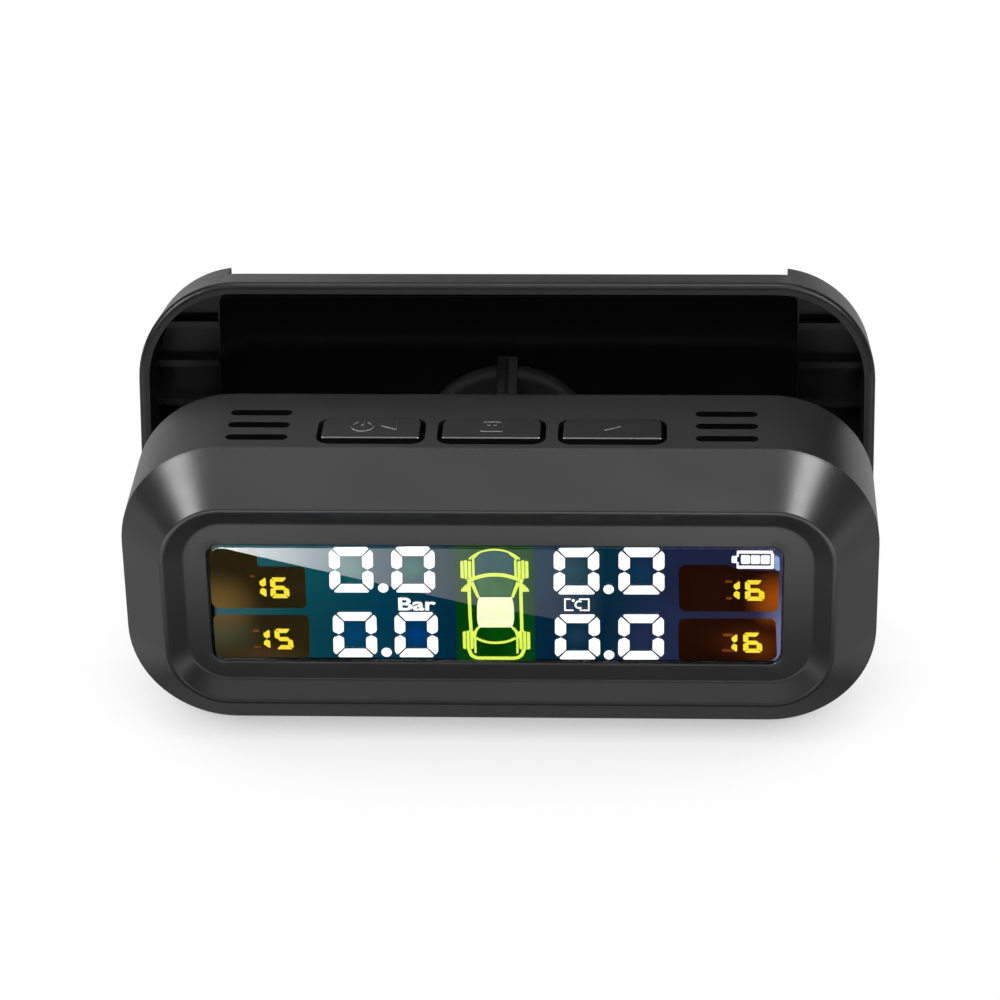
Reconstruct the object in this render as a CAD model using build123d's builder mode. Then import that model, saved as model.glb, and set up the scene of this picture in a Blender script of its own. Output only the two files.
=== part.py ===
from build123d import *
import os
from math import sin, cos, radians, atan, degrees

os.makedirs("parts", exist_ok=True)

# ---------------------------------------------------------------- dimensions
# Everything is in millimetres. X runs across the unit, Y runs away from the
# driver, Z is up. "Display" values are counted from the centre of the ridge,
# the widest outline, where the front bezel meets the rear housing.

disp_w = 115.0          # display width at the ridge
disp_h = 47.25          # display height at the ridge
disp_r = 16.3           # corner radius of the ridge outline
rear_depth = 19.0       # ridge to back plane
bezel_depth = 7.3       # ridge to front crease
bezel_inset = 6.7       # inset of the crease all round
rear_wall = 2.2
bezel_wall = 3.0        # measured in the ridge plane
bezel_back = 3.7        # inside face of the bezel front plate, ahead of the ridge
dish_depth = 1.9        # front plate sinks by this from the crease
dish_wall = 3.3         # width of the sloping wall of the dish
groove = 0.2            # parting groove at the ridge

win_w, win_h, win_r = 86.8, 20.4, 2.0   # screen opening
win_x, win_z = -0.5, -0.4
lens_gap = 0.15

# placing of the whole unit: origin under the middle of the bounding box
ridge_y = -19.504
mid_z = disp_h / 2

# rear bracket tray
tilt = 14.0             # the tray leans back by this at rest
tray_y, tray_z = 27.0, 11.5   # rim centre behind the ridge and above mid height
tray_w, tray_h, tray_r = 115.8, 49.0, 15.5
tray_wall = 1.75
tray_depth = 14.0
top_depth = 7.7         # depth of the top wall between the two ears
ear_x = 44.4            # inner edge of the ears
deck_x = 46.2           # half width of the raised centre deck
deck_d = 9.8            # front face of the deck, behind the rim
deck_back = 11.4
pocket_d = 12.3         # floor of the side pockets
rib_pitch = 6.35
rib_t = 1.0
rib_d = 9.4
panel_d = 9.0           # front face of the glossy centre panel
panel_w, panel_h = 91.8, 41.6

# hinge
piv_y, piv_z = 25.7, 6.2      # pivot behind the ridge, above mid height
hub_r = 15.0
hub_d = 6.6             # hub face behind the rim
tongue_t = 3.2
ear_in, ear_out = 1.9, 5.1    # clevis cheeks, half distances across
knuckle_r = 5.0
clev_w, clev_h = 19.0, 15.6   # clevis base plate
clev_sx, clev_sz = 14.6, 10.6 # its screw spacing
bolt_r = 1.95
bolt_hole_r = 2.02

# push buttons and vents on the top wall
top_x = -1.0
btn_pitch = 18.2
btn_y = 5.5
well_w, well_l, well_r = 16.4, 8.4, 2.2
cap_w, cap_l, cap_r = 14.9, 7.3, 1.6
cap_proud = 0.35
vent_x = 35.4
vent_ys = (3.4, 7.4, 11.4)
vent_l, vent_w = 9.4, 1.8

# fixings
case_screw_x, case_screw_z = 49.4, 12.6
pcb_screw_x, pcb_screw_z = 49.6, 7.0

t = radians(tilt)
back_n = (0, cos(t), -sin(t))     # out of the back of the tray
front_n = (0, -cos(t), sin(t))
up_n = (0, sin(t), cos(t))


def vp(y, x=0.0, z=0.0):
    """Upright plane facing the driver, y behind the ridge."""
    return Plane(origin=(x, ridge_y + y, mid_z + z), x_dir=(1, 0, 0), z_dir=(0, -1, 0))


def hp(z, x=0.0, y=0.0):
    """Level plane facing up, z above mid height."""
    return Plane(origin=(x, ridge_y + y, mid_z + z), x_dir=(1, 0, 0), z_dir=(0, 0, 1))


def sp(x, y=0.0, z=0.0):
    """Upright plane facing +X; local x runs backwards, local y runs up."""
    return Plane(origin=(x, ridge_y + y, mid_z + z), x_dir=(0, 1, 0), z_dir=(1, 0, 0))


def tp(d, x=0.0, h=0.0):
    """Plane parallel to the tray rim, d behind it, facing the driver."""
    return Plane(
        origin=(
            x,
            ridge_y + tray_y + back_n[1] * d + up_n[1] * h,
            mid_z + tray_z + back_n[2] * d + up_n[2] * h,
        ),
        x_dir=(1, 0, 0),
        z_dir=front_n,
    )


def cp(x=0.0):
    """Cross-section plane of the tray: local x is depth, local y runs up the slope."""
    return Plane(origin=(x, ridge_y + tray_y, mid_z + tray_z), x_dir=back_n, z_dir=(1, 0, 0))


# the pivot in tray coordinates
piv_d = (piv_y - tray_y) * cos(t) - (piv_z - tray_z) * sin(t)
piv_h = (piv_y - tray_y) * sin(t) + (piv_z - tray_z) * cos(t)

half_h = disp_h / 2
btn_xs = (top_x - btn_pitch, top_x, top_x + btn_pitch)

# ================================================================ display case

# front bezel: a sloping frame with a shallow dish, window, posts and a locating lip
crease_w = disp_w - 2 * bezel_inset
crease_h = disp_h - 2 * bezel_inset
crease_r = disp_r - bezel_inset
slope = bezel_inset / bezel_depth
plate_in = bezel_back * slope

with BuildPart() as front_bezel:
    with BuildSketch(vp(-groove)):
        RectangleRounded(disp_w, disp_h, disp_r)
    with BuildSketch(vp(-bezel_depth)):
        RectangleRounded(crease_w, crease_h, crease_r)
    loft()
    # the edge steps in where the bezel meets the housing, so the joint reads as a groove
    with BuildSketch(vp(0.0)):
        RectangleRounded(disp_w - 2 * groove, disp_h - 2 * groove, disp_r - groove)
    extrude(amount=groove)
    # inside hollow
    with BuildSketch(vp(0.0)):
        RectangleRounded(disp_w - 2 * bezel_wall, disp_h - 2 * bezel_wall, disp_r - bezel_wall)
    with BuildSketch(vp(-bezel_back)):
        RectangleRounded(
            disp_w - 2 * bezel_wall - 2 * plate_in,
            disp_h - 2 * bezel_wall - 2 * plate_in,
            disp_r - bezel_wall - plate_in,
        )
    loft(mode=Mode.SUBTRACT)
    # dish in the front plate
    with BuildSketch(vp(-bezel_depth)):
        RectangleRounded(crease_w - 1.0, crease_h - 1.0, crease_r - 0.5)
    with BuildSketch(vp(-bezel_depth + dish_depth)):
        RectangleRounded(crease_w - 2 * dish_wall, crease_h - 2 * dish_wall, crease_r - dish_wall)
    loft(mode=Mode.SUBTRACT)
    # window
    with BuildSketch(vp(0.0, win_x, win_z)):
        RectangleRounded(win_w, win_h, win_r)
    extrude(amount=bezel_depth + 1, mode=Mode.SUBTRACT)
    # locating lip that drops inside the rear housing
    with BuildSketch(vp(1.0)):
        RectangleRounded(110.2, 42.45, 13.9)
        RectangleRounded(109.0, 41.25, 13.3, mode=Mode.SUBTRACT)
    extrude(amount=1.6)
    # the lip is cleared for the buttons
    with BuildSketch(vp(1.1, top_x, 21.0)):
        Rectangle(58.0, 3.0)
    extrude(amount=1.08, mode=Mode.SUBTRACT)
    # screw bosses and board posts
    with BuildSketch(vp(3.65)):
        with GridLocations(2 * case_screw_x, 2 * case_screw_z, 2, 2):
            Circle(3.0)
            Circle(1.32, mode=Mode.SUBTRACT)
    extrude(amount=3.65 + bezel_back + 0.1)
    with BuildSketch(vp(3.95)):
        with GridLocations(2 * pcb_screw_x, 2 * pcb_screw_z, 2, 2):
            Circle(2.0)
            Circle(1.0, mode=Mode.SUBTRACT)
    extrude(amount=3.95 + bezel_back + 0.1)

# rear housing: the box behind the ridge with wells, vents and screw bosses
with BuildPart() as rear_housing:
    with BuildSketch(vp(rear_depth)):
        RectangleRounded(disp_w, disp_h, disp_r)
    extrude(amount=rear_depth)
    back_edges = rear_housing.faces().sort_by(Axis.Y)[-1].edges()
    fillet(back_edges, 1.6)
    front_edges = rear_housing.faces().sort_by(Axis.Y)[0].edges()
    chamfer(front_edges, groove)
    with BuildSketch(vp(rear_depth - rear_wall)):
        RectangleRounded(disp_w - 2 * rear_wall, disp_h - 2 * rear_wall, disp_r - rear_wall)
    extrude(amount=rear_depth, mode=Mode.SUBTRACT)
    # screw bosses
    with BuildSketch(vp(rear_depth - rear_wall + 0.1)):
        with GridLocations(2 * case_screw_x, 2 * case_screw_z, 2, 2):
            Circle(3.4)
    extrude(amount=rear_depth - rear_wall + 0.1 - 3.75)
    with BuildSketch(vp(rear_depth)):
        with GridLocations(2 * case_screw_x, 2 * case_screw_z, 2, 2):
            Circle(2.55)
    extrude(amount=2.0, mode=Mode.SUBTRACT)
    with BuildSketch(vp(rear_depth)):
        with GridLocations(2 * case_screw_x, 2 * case_screw_z, 2, 2):
            Circle(1.4)
    extrude(amount=rear_depth - 3.0, mode=Mode.SUBTRACT)
    # button wells
    with BuildSketch(hp(half_h + 1.0, top_x, btn_y)):
        with GridLocations(btn_pitch, 1, 3, 1):
            RectangleRounded(well_w, well_l, well_r)
    extrude(amount=-(1.0 + rear_wall + 0.5), mode=Mode.SUBTRACT)
    # vent slots
    with BuildSketch(hp(half_h + 1.0, top_x, vent_ys[1])):
        with GridLocations(2 * vent_x, vent_ys[1] - vent_ys[0], 2, 3):
            SlotOverall(vent_l, vent_w)
    extrude(amount=-(1.0 + rear_wall + 0.5), mode=Mode.SUBTRACT)
    # charging socket opening in the right-hand side
    with BuildSketch(sp(disp_w / 2 + 1, 7.25, 0.0)):
        RectangleRounded(3.8, 9.6, 1.85)
    extrude(amount=-5.0, mode=Mode.SUBTRACT)
    # pocket and screw holes for the hinge clevis
    with BuildSketch(vp(rear_depth, 0, piv_z)):
        RectangleRounded(clev_w + 0.2, clev_h + 0.2, 2.1)
    extrude(amount=1.2, mode=Mode.SUBTRACT)
    with BuildSketch(vp(rear_depth, 0, piv_z)):
        with GridLocations(clev_sx, clev_sz, 2, 2):
            Circle(0.85)
    extrude(amount=4.0, mode=Mode.SUBTRACT)

# hinge clevis: a base plate let into the back of the housing, with two cheeks
with BuildPart() as hinge_clevis:
    with BuildSketch(vp(rear_depth + 0.5, 0, piv_z)):
        RectangleRounded(clev_w, clev_h, 2.0)
    extrude(amount=1.68)
    for x0 in (-ear_out, ear_in):
        with BuildSketch(sp(x0, piv_y, piv_z)):
            Circle(knuckle_r)
            Polygon(
                (-(piv_y - rear_depth) - 0.4, -6.6),
                (-(piv_y - rear_depth) - 0.4, 6.6),
                (0.8, 4.9),
                (0.8, -4.9),
                align=None,
            )
        extrude(amount=ear_out - ear_in)
    with BuildSketch(sp(-8.0, piv_y, piv_z)):
        Circle(bolt_hole_r)
    extrude(amount=16.0, mode=Mode.SUBTRACT)
    with BuildSketch(vp(rear_depth + 1, 0, piv_z)):
        with GridLocations(clev_sx, clev_sz, 2, 2):
            Circle(0.95)
    extrude(amount=4.0, mode=Mode.SUBTRACT)

with BuildPart() as clevis_screws:
    with BuildSketch(vp(rear_depth + 1.5, 0, piv_z)):
        with GridLocations(clev_sx, clev_sz, 2, 2):
            Circle(1.6)
    extrude(amount=0.98)
    with BuildSketch(vp(rear_depth + 0.6, 0, piv_z)):
        with GridLocations(clev_sx, clev_sz, 2, 2):
            Circle(0.8)
    extrude(amount=3.6)
    with BuildSketch(vp(rear_depth + 1.6, 0, piv_z)):
        with GridLocations(clev_sx, clev_sz, 2, 2):
            Rectangle(1.9, 0.4)
            Rectangle(0.4, 1.9)
    extrude(amount=0.6, mode=Mode.SUBTRACT)

# clear cover lens, bonded to the front of the screen and nearly flush inside the window
with BuildPart() as lens:
    with BuildSketch(vp(-4.9, win_x, win_z)):
        RectangleRounded(win_w - 2 * lens_gap, win_h - 2 * lens_gap, win_r - 0.15)
    extrude(amount=0.4)

# foam tape that seals the screen against the back of the front plate
with BuildPart() as lens_tape:
    with BuildSketch(vp(-3.47)):
        RectangleRounded(90.0, 25.6, 0.8)
        with Locations((win_x, win_z)):
            RectangleRounded(87.2, 21.0, 1.4, mode=Mode.SUBTRACT)
        with Locations((0, -12.0)):
            Rectangle(30.8, 3.4, mode=Mode.SUBTRACT)
    extrude(amount=0.2)

# ================================================================ screen stack
with BuildPart() as lcd_frame:
    with BuildSketch(vp(0.4)):
        RectangleRounded(92.0, 28.0, 0.8)
    extrude(amount=4.0)
    with BuildSketch(vp(-0.2)):
        Rectangle(90.6, 26.6)
    extrude(amount=4.0, mode=Mode.SUBTRACT)
    # notch for the flexible connector
    with BuildSketch(vp(-3.3, 0, -13.6)):
        Rectangle(31.0, 1.6)
    extrude(amount=1.0, mode=Mode.SUBTRACT)

with BuildPart() as lcd_polarizer:
    with BuildSketch(vp(-4.66, win_x, win_z)):
        RectangleRounded(win_w - 0.4, win_h - 0.4, 1.8)
    extrude(amount=0.2)

with BuildPart() as lcd_front_glass:
    with BuildSketch(vp(-3.52, win_x, win_z)):
        RectangleRounded(win_w - 0.6, win_h - 0.6, 1.7)
    extrude(amount=1.1)

with BuildPart() as lcd_rear_glass:
    with BuildSketch(vp(-2.8)):
        Rectangle(90.0, 26.0)
    extrude(amount=0.65)

with BuildPart() as diffuser_sheet:
    with BuildSketch(vp(-2.55)):
        Rectangle(89.4, 25.4)
    extrude(amount=0.2)

with BuildPart() as light_guide:
    with BuildSketch(vp(-0.65, 0.6)):
        Rectangle(88.0, 25.4)
    extrude(amount=1.8)

with BuildPart() as reflector_sheet:
    with BuildSketch(vp(-0.35, 0.6)):
        Rectangle(88.0, 25.4)
    extrude(amount=0.2)

with BuildPart() as backlight_leds:
    with BuildSketch(vp(-0.55, -44.3)):
        with GridLocations(1, 6.2, 1, 4):
            Rectangle(1.1, 3.0)
    extrude(amount=1.8)

with BuildPart() as lcd_flex:
    with BuildSketch(sp(-15.0)):
        Polygon(
            (-3.62, -10.9), (-3.62, -14.75), (3.95, -14.75), (3.95, -11.8),
            (3.80, -11.8), (3.80, -14.60), (-3.47, -14.60), (-3.47, -10.9),
            align=None,
        )
    extrude(amount=30.0)

# ================================================================ electronics
with BuildPart() as main_pcb:
    with BuildSketch(vp(5.6)):
        Rectangle(106.0, 31.0)
        with GridLocations(2 * 50.1, 2 * 13.15, 2, 2):
            Rectangle(9.8, 8.7, mode=Mode.SUBTRACT)
        with GridLocations(2 * pcb_screw_x, 2 * pcb_screw_z, 2, 2):
            Circle(1.15, mode=Mode.SUBTRACT)
    extrude(amount=1.6)

with BuildPart() as controller_chip:
    with BuildSketch(vp(6.6, -8.0, 1.0)):
        Rectangle(7.0, 7.0)
    extrude(amount=0.95)

with BuildPart() as radio_chip:
    with BuildSketch(vp(6.5, -39.0, 2.0)):
        Rectangle(4.0, 4.0)
    extrude(amount=0.85)

with BuildPart() as crystal:
    with BuildSketch(vp(6.4, -38.5, -4.6)):
        RectangleRounded(3.2, 2.5, 0.3)
    extrude(amount=0.75)

with BuildPart() as charger_chip:
    with BuildSketch(vp(6.5, 41.0, 5.0)):
        Rectangle(3.0, 3.0)
    extrude(amount=0.85)

with BuildPart() as antenna_coil:
    with BuildLine(Plane(origin=(-47.6, ridge_y + 8.3, mid_z - 4.4), z_dir=(0, 0, 1))):
        coil_path = Helix(pitch=1.5, height=9.0, radius=1.9)
    with BuildSketch(Plane(origin=coil_path @ 0, z_dir=coil_path % 0)):
        Circle(0.3)
    sweep(path=coil_path, is_frenet=True)

with BuildPart() as battery_cell:
    with BuildSketch(hp(-15.0, -13.0, 12.1)):
        RectangleRounded(50.0, 5.0, 2.0)
    extrude(amount=26.0)

with BuildPart() as battery_foam:
    with BuildSketch(vp(16.75, -24.0, -2.0)):
        Rectangle(24.0, 20.0)
    extrude(amount=2.1)

with BuildPart() as buzzer:
    with BuildSketch(vp(10.2, 27.0, -4.0)):
        Circle(6.0)
        Circle(0.9, mode=Mode.SUBTRACT)
    extrude(amount=4.55)

with BuildPart() as vibration_sensor:
    with BuildSketch(sp(37.0, 7.35, -11.5)):
        Circle(1.6)
    extrude(amount=6.5)

with BuildPart() as usb_socket:
    with BuildSketch(sp(48.0, 7.25, 0.0)):
        RectangleRounded(3.2, 8.95, 1.45)
    extrude(amount=7.1)
    with BuildSketch(sp(55.1, 7.25, 0.0)):
        RectangleRounded(2.6, 8.35, 1.2)
        RectangleRounded(0.7, 6.6, 0.2, mode=Mode.SUBTRACT)
    extrude(amount=-6.2, mode=Mode.SUBTRACT)

# ================================================================ push buttons
icon_z = half_h + cap_proud


switch_parts = []
cap_parts = []
plunger_parts = []
for name, bx in zip(("left", "centre", "right"), btn_xs):
    with BuildPart() as switch_body:
        with BuildSketch(hp(12.4, bx, 7.45)):
            Rectangle(6.0, 3.6)
        extrude(amount=4.6)
        with BuildSketch(hp(17.0, bx, 7.45)):
            Rectangle(3.2, 1.6)
        extrude(amount=-2.6, mode=Mode.SUBTRACT)
    switch_parts.append(("switch_" + name, switch_body))

    with BuildPart() as plunger:
        with BuildSketch(hp(15.1, bx, 7.45)):
            Rectangle(3.0, 1.4)
        extrude(amount=3.4)
    plunger_parts.append(("plunger_" + name, plunger))

    with BuildPart() as cap:
        # flange that holds the cap under the top wall
        with BuildSketch(hp(20.25, bx, btn_y)):
            RectangleRounded(17.5, 9.3, 1.6)
        extrude(amount=0.85)
        with BuildSketch(hp(20.9, bx, btn_y)):
            RectangleRounded(cap_w, cap_l, cap_r)
        extrude(amount=half_h + cap_proud - 20.9)
        # the front of the cap stands back from the well, with a little draft
        with BuildSketch(sp(bx - 10.0)):
            Polygon(
                (btn_y - cap_l / 2 - 0.5, half_h + cap_proud - 1.85),
                (btn_y - cap_l / 2 + 0.75, half_h + cap_proud - 1.85),
                (btn_y - cap_l / 2 + 1.0, half_h + cap_proud + 0.5),
                (btn_y - cap_l / 2 - 0.5, half_h + cap_proud + 0.5),
                align=None,
            )
        extrude(amount=20.0, mode=Mode.SUBTRACT)
        # stem that meets the switch plunger
        with BuildSketch(hp(18.55, bx, 7.45)):
            RectangleRounded(4.0, 2.4, 0.5)
        extrude(amount=1.8)
        # raised marks
        if name == "left":
            with BuildSketch(hp(icon_z - 0.05, bx - 1.4, btn_y + 0.9)):
                Circle(1.75)
                Circle(1.35, mode=Mode.SUBTRACT)
                with BuildSketch(mode=Mode.SUBTRACT):
                    with Locations((0, 1.5)):
                        Rectangle(1.4, 1.6)
                with Locations((0, 0.95)):
                    Rectangle(0.4, 1.5)
            extrude(amount=0.17)
            with BuildSketch(hp(icon_z - 0.05, bx + 2.6, btn_y + 0.9)):
                Polygon((1.2, 1.2), (-1.2, 0.0), (1.2, -1.2), align=None)
            extrude(amount=0.17)
        elif name == "centre":
            with BuildSketch(hp(icon_z - 0.05, bx, btn_y + 0.9)):
                RectangleRounded(3.4, 3.4, 0.4)
                RectangleRounded(2.7, 2.7, 0.25, mode=Mode.SUBTRACT)
                with Locations((0, 0.5)):
                    Rectangle(1.5, 0.4)
                with Locations((0, -0.5)):
                    Rectangle(0.4, 1.8)
            extrude(amount=0.17)
        else:
            with BuildSketch(hp(icon_z - 0.05, bx, btn_y + 0.9)):
                Polygon((-1.2, 1.2), (1.2, 0.0), (-1.2, -1.2), align=None)
            extrude(amount=0.17)
    cap_parts.append(("button_" + name, cap))

# felt behind the vent slots
felt_parts = []
for name, side in (("left", -1), ("right", 1)):
    with BuildPart() as felt:
        with BuildSketch(hp(20.95, top_x + side * vent_x, 7.9)):
            RectangleRounded(10.6, 11.6, 1.0)
        extrude(amount=0.4)
    felt_parts.append(("vent_felt_" + name, felt))

# ================================================================ fixings of the display
with BuildPart() as case_screws:
    with BuildSketch(vp(18.6)):
        with GridLocations(2 * case_screw_x, 2 * case_screw_z, 2, 2):
            Circle(2.3)
    extrude(amount=1.55)
    with BuildSketch(vp(17.2)):
        with GridLocations(2 * case_screw_x, 2 * case_screw_z, 2, 2):
            Circle(1.25)
    extrude(amount=18.2)
    with BuildSketch(vp(18.7)):
        with GridLocations(2 * case_screw_x, 2 * case_screw_z, 2, 2):
            Rectangle(2.6, 0.55)
            Rectangle(0.55, 2.6)
    extrude(amount=0.9, mode=Mode.SUBTRACT)

with BuildPart() as pcb_screws:
    with BuildSketch(vp(6.9)):
        with GridLocations(2 * pcb_screw_x, 2 * pcb_screw_z, 2, 2):
            Circle(1.85)
    extrude(amount=1.25)
    with BuildSketch(vp(6.0)):
        with GridLocations(2 * pcb_screw_x, 2 * pcb_screw_z, 2, 2):
            Circle(0.95)
    extrude(amount=5.6)
    with BuildSketch(vp(7.0)):
        with GridLocations(2 * pcb_screw_x, 2 * pcb_screw_z, 2, 2):
            Rectangle(2.0, 0.45)
            Rectangle(0.45, 2.0)
    extrude(amount=0.7, mode=Mode.SUBTRACT)

# ================================================================ hinge hardware
with BuildPart() as tilt_bolt:
    with BuildSketch(sp(-ear_out - 0.02, piv_y, piv_z)):
        Circle(3.7)
    extrude(amount=-2.3)
    with BuildSketch(sp(-ear_out - 0.5, piv_y, piv_z)):
        Circle(bolt_r)
    extrude(amount=ear_out * 2 + 0.5 + 5.0)
    with BuildSketch(sp(-ear_out - 2.4, piv_y, piv_z)):
        RegularPolygon(1.45, 6)
    extrude(amount=1.5, mode=Mode.SUBTRACT)
    head_rim = tilt_bolt.edges().filter_by(GeomType.CIRCLE).filter_by_position(
        Axis.X, -ear_out - 2.33, -ear_out - 2.31)
    fillet(head_rim, 0.9)

with BuildPart() as lock_washer:
    with BuildSketch(sp(ear_out + 0.02, piv_y, piv_z)):
        Circle(3.4)
        Circle(2.1, mode=Mode.SUBTRACT)
        with Locations((0, 2.8)):
            Rectangle(0.4, 2.0, mode=Mode.SUBTRACT)
    extrude(amount=0.8)

with BuildPart() as tilt_nut:
    with BuildSketch(sp(ear_out + 0.86, piv_y, piv_z)):
        RegularPolygon(4.04, 6)
        Circle(2.0, mode=Mode.SUBTRACT)
    extrude(amount=3.2)

with BuildPart() as friction_washers:
    with BuildSketch(sp(tongue_t / 2 + 0.05, piv_y, piv_z)):
        Circle(4.6)
        Circle(2.03, mode=Mode.SUBTRACT)
    extrude(amount=0.2)
    with BuildSketch(sp(-tongue_t / 2 - 0.05, piv_y, piv_z)):
        Circle(4.6)
        Circle(2.03, mode=Mode.SUBTRACT)
    extrude(amount=-0.2)

# ================================================================ rear bracket
with BuildPart() as mount_tray:
    with BuildSketch(tp(0.0)):
        RectangleRounded(tray_w, tray_h, tray_r)
    extrude(amount=-tray_depth)
    back_rim = mount_tray.faces().sort_by(Axis((0, 0, 0), back_n))[-1].edges()
    fillet(back_rim, 0.8)
    front_rim = mount_tray.faces().sort_by(Axis((0, 0, 0), back_n))[0].edges()
    fillet(front_rim, 1.0)
    with BuildSketch(tp(0.0)):
        RectangleRounded(tray_w - 2 * tray_wall, tray_h - 2 * tray_wall, tray_r - tray_wall)
    extrude(amount=-pocket_d, mode=Mode.SUBTRACT)
    # raised deck across the middle
    with BuildSketch(tp(deck_d)):
        Rectangle(2 * deck_x, tray_h - 2.0)
    extrude(amount=-(tray_depth - deck_d))
    # the back of the middle stops short of the two ears
    with BuildSketch(tp(deck_back)):
        Rectangle(2 * ear_x, tray_h + 2)
    extrude(amount=-(tray_depth - deck_back + 1.0), mode=Mode.SUBTRACT)
    # inside and outside slopes where the top and bottom walls run into the deck
    for s in (1, -1):
        with BuildSketch(cp(-deck_x)):
            Polygon(
                (7.2, s * (tray_h / 2 - tray_wall + 0.2)),
                (7.2, s * (tray_h / 2 - tray_wall)),
                (deck_d + 0.2, s * 20.87),
                (deck_d + 0.2, s * (tray_h / 2 - tray_wall + 0.2)),
                align=None,
            )
        extrude(amount=2 * deck_x)
        with BuildSketch(cp(-ear_x)):
            Polygon(
                (top_depth, s * (tray_h / 2)),
                (top_depth, s * (tray_h / 2 + 1)),
                (deck_back + 1, s * (tray_h / 2 + 1)),
                (deck_back + 1, s * 21.7),
                (deck_back, s * 22.3),
                align=None,
            )
        extrude(amount=2 * ear_x, mode=Mode.SUBTRACT)
    # stiffening ribs in the side pockets
    for s in (-1, 1):
        for k, reach in ((0.5, 56.8), (1.5, 56.8), (2.5, 54.9)):
            for v in (-1, 1):
                with BuildSketch(tp(rib_d, s * (deck_x - 0.1 + reach) / 2, v * k * rib_pitch)):
                    Rectangle(reach - deck_x + 0.1, rib_t)
                extrude(amount=-(pocket_d - rib_d + 0.3))
    # shallow frame for the solar panel on the back
    with BuildSketch(tp(deck_back - 0.2)):
        RectangleRounded(88.2, 41.0, 1.6)
        RectangleRounded(86.2, 39.2, 0.8, mode=Mode.SUBTRACT)
    extrude(amount=-2.3)
    # screw holes behind the hub
    with BuildSketch(tp(deck_d - 0.5, 0, piv_h)):
        with PolarLocations(10.5, 4, start_angle=45):
            Circle(1.3)
    extrude(amount=-3.0, mode=Mode.SUBTRACT)

with BuildPart() as centre_panel:
    with BuildSketch(tp(deck_d - 0.03)):
        RectangleRounded(panel_w, panel_h, 1.2)
        with Locations((0, piv_h)):
            Circle(hub_r + 0.3, mode=Mode.SUBTRACT)
    extrude(amount=deck_d - 0.03 - panel_d)

with BuildPart() as hinge_hub:
    with BuildSketch(tp(deck_d - 0.02, 0, piv_h)):
        Circle(hub_r)
    extrude(amount=deck_d - 0.02 - hub_d)
    hub_rim = hinge_hub.faces().sort_by(Axis((0, 0, 0), back_n))[0].edges()
    fillet(hub_rim, 1.8)
    with BuildSketch(cp(-tongue_t / 2)):
        with Locations((piv_d, piv_h)):
            Circle(knuckle_r)
        Polygon(
            (panel_d - 0.12, piv_h + 16.4),
            (piv_d - 2.2, piv_h + 4.45),
            (piv_d - 2.2, piv_h - 4.45),
            (panel_d - 0.12, piv_h - 12.5),
            align=None,
        )
    extrude(amount=tongue_t)
    # the tongue's upper edge falls away to one side
    with BuildSketch(cp(-tongue_t / 2 - 0.1)):
        Polygon(
            (panel_d - 0.3, piv_h + 14.2),
            (piv_d + 1.6, piv_h + 7.6),
            (piv_d - 1.0, piv_h + 8.6),
            (panel_d - 2.4, piv_h + 18.4),
            (panel_d - 0.3, piv_h + 18.4),
            align=None,
        )
    extrude(amount=1.9, mode=Mode.SUBTRACT)
    with BuildSketch(Plane(origin=(-4, ridge_y + piv_y, mid_z + piv_z), x_dir=(0, 1, 0), z_dir=(1, 0, 0))):
        Circle(bolt_hole_r)
    extrude(amount=8.0, mode=Mode.SUBTRACT)
    with BuildSketch(tp(deck_d + 0.2, 0, piv_h)):
        with PolarLocations(10.5, 4, start_angle=45):
            Circle(1.05)
    extrude(amount=2.4, mode=Mode.SUBTRACT)

with BuildPart() as hub_screws:
    with BuildSketch(tp(deck_back + 0.02, 0, piv_h)):
        with PolarLocations(10.5, 4, start_angle=45):
            Circle(2.0)
    extrude(amount=-0.9)
    with BuildSketch(tp(deck_back + 0.1, 0, piv_h)):
        with PolarLocations(10.5, 4, start_angle=45):
            Circle(1.0)
    extrude(amount=3.6)

# solar panel on the back of the bracket
with BuildPart() as solar_backing:
    with BuildSketch(tp(12.35)):
        RectangleRounded(85.8, 38.8, 0.6)
    extrude(amount=-0.4)

with BuildPart() as solar_cells:
    with BuildSketch(tp(12.78)):
        with GridLocations(10.4, 18.6, 8, 2):
            Rectangle(9.9, 18.1)
    extrude(amount=-0.2)

with BuildPart() as solar_cover:
    with BuildSketch(tp(13.01)):
        RectangleRounded(85.8, 38.8, 0.6)
    extrude(amount=-0.5)

pad_parts = []
for name, side in (("left", -1), ("right", 1)):
    with BuildPart() as pad:
        with BuildSketch(tp(tray_depth + 0.01, side * 51.0, 0.0)):
            RectangleRounded(10.0, 29.0, 2.0)
        extrude(amount=-0.9)
    pad_parts.append(("adhesive_pad_" + name, pad))

# ================================================================ write
single = {
    "front_bezel": front_bezel, "rear_housing": rear_housing, "hinge_clevis": hinge_clevis,
    "clevis_screws": clevis_screws, "lens": lens, "lens_tape": lens_tape,
    "lcd_frame": lcd_frame, "lcd_polarizer": lcd_polarizer, "lcd_front_glass": lcd_front_glass,
    "lcd_rear_glass": lcd_rear_glass, "diffuser_sheet": diffuser_sheet, "light_guide": light_guide,
    "reflector_sheet": reflector_sheet, "backlight_leds": backlight_leds, "lcd_flex": lcd_flex,
    "main_pcb": main_pcb, "controller_chip": controller_chip, "radio_chip": radio_chip,
    "crystal": crystal, "charger_chip": charger_chip, "antenna_coil": antenna_coil,
    "battery_cell": battery_cell, "battery_foam": battery_foam, "buzzer": buzzer,
    "vibration_sensor": vibration_sensor, "usb_socket": usb_socket, "case_screws": case_screws,
    "pcb_screws": pcb_screws, "tilt_bolt": tilt_bolt, "lock_washer": lock_washer,
    "tilt_nut": tilt_nut, "friction_washers": friction_washers, "mount_tray": mount_tray,
    "centre_panel": centre_panel, "hinge_hub": hinge_hub, "hub_screws": hub_screws,
    "solar_backing": solar_backing, "solar_cells": solar_cells, "solar_cover": solar_cover,
}
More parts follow.
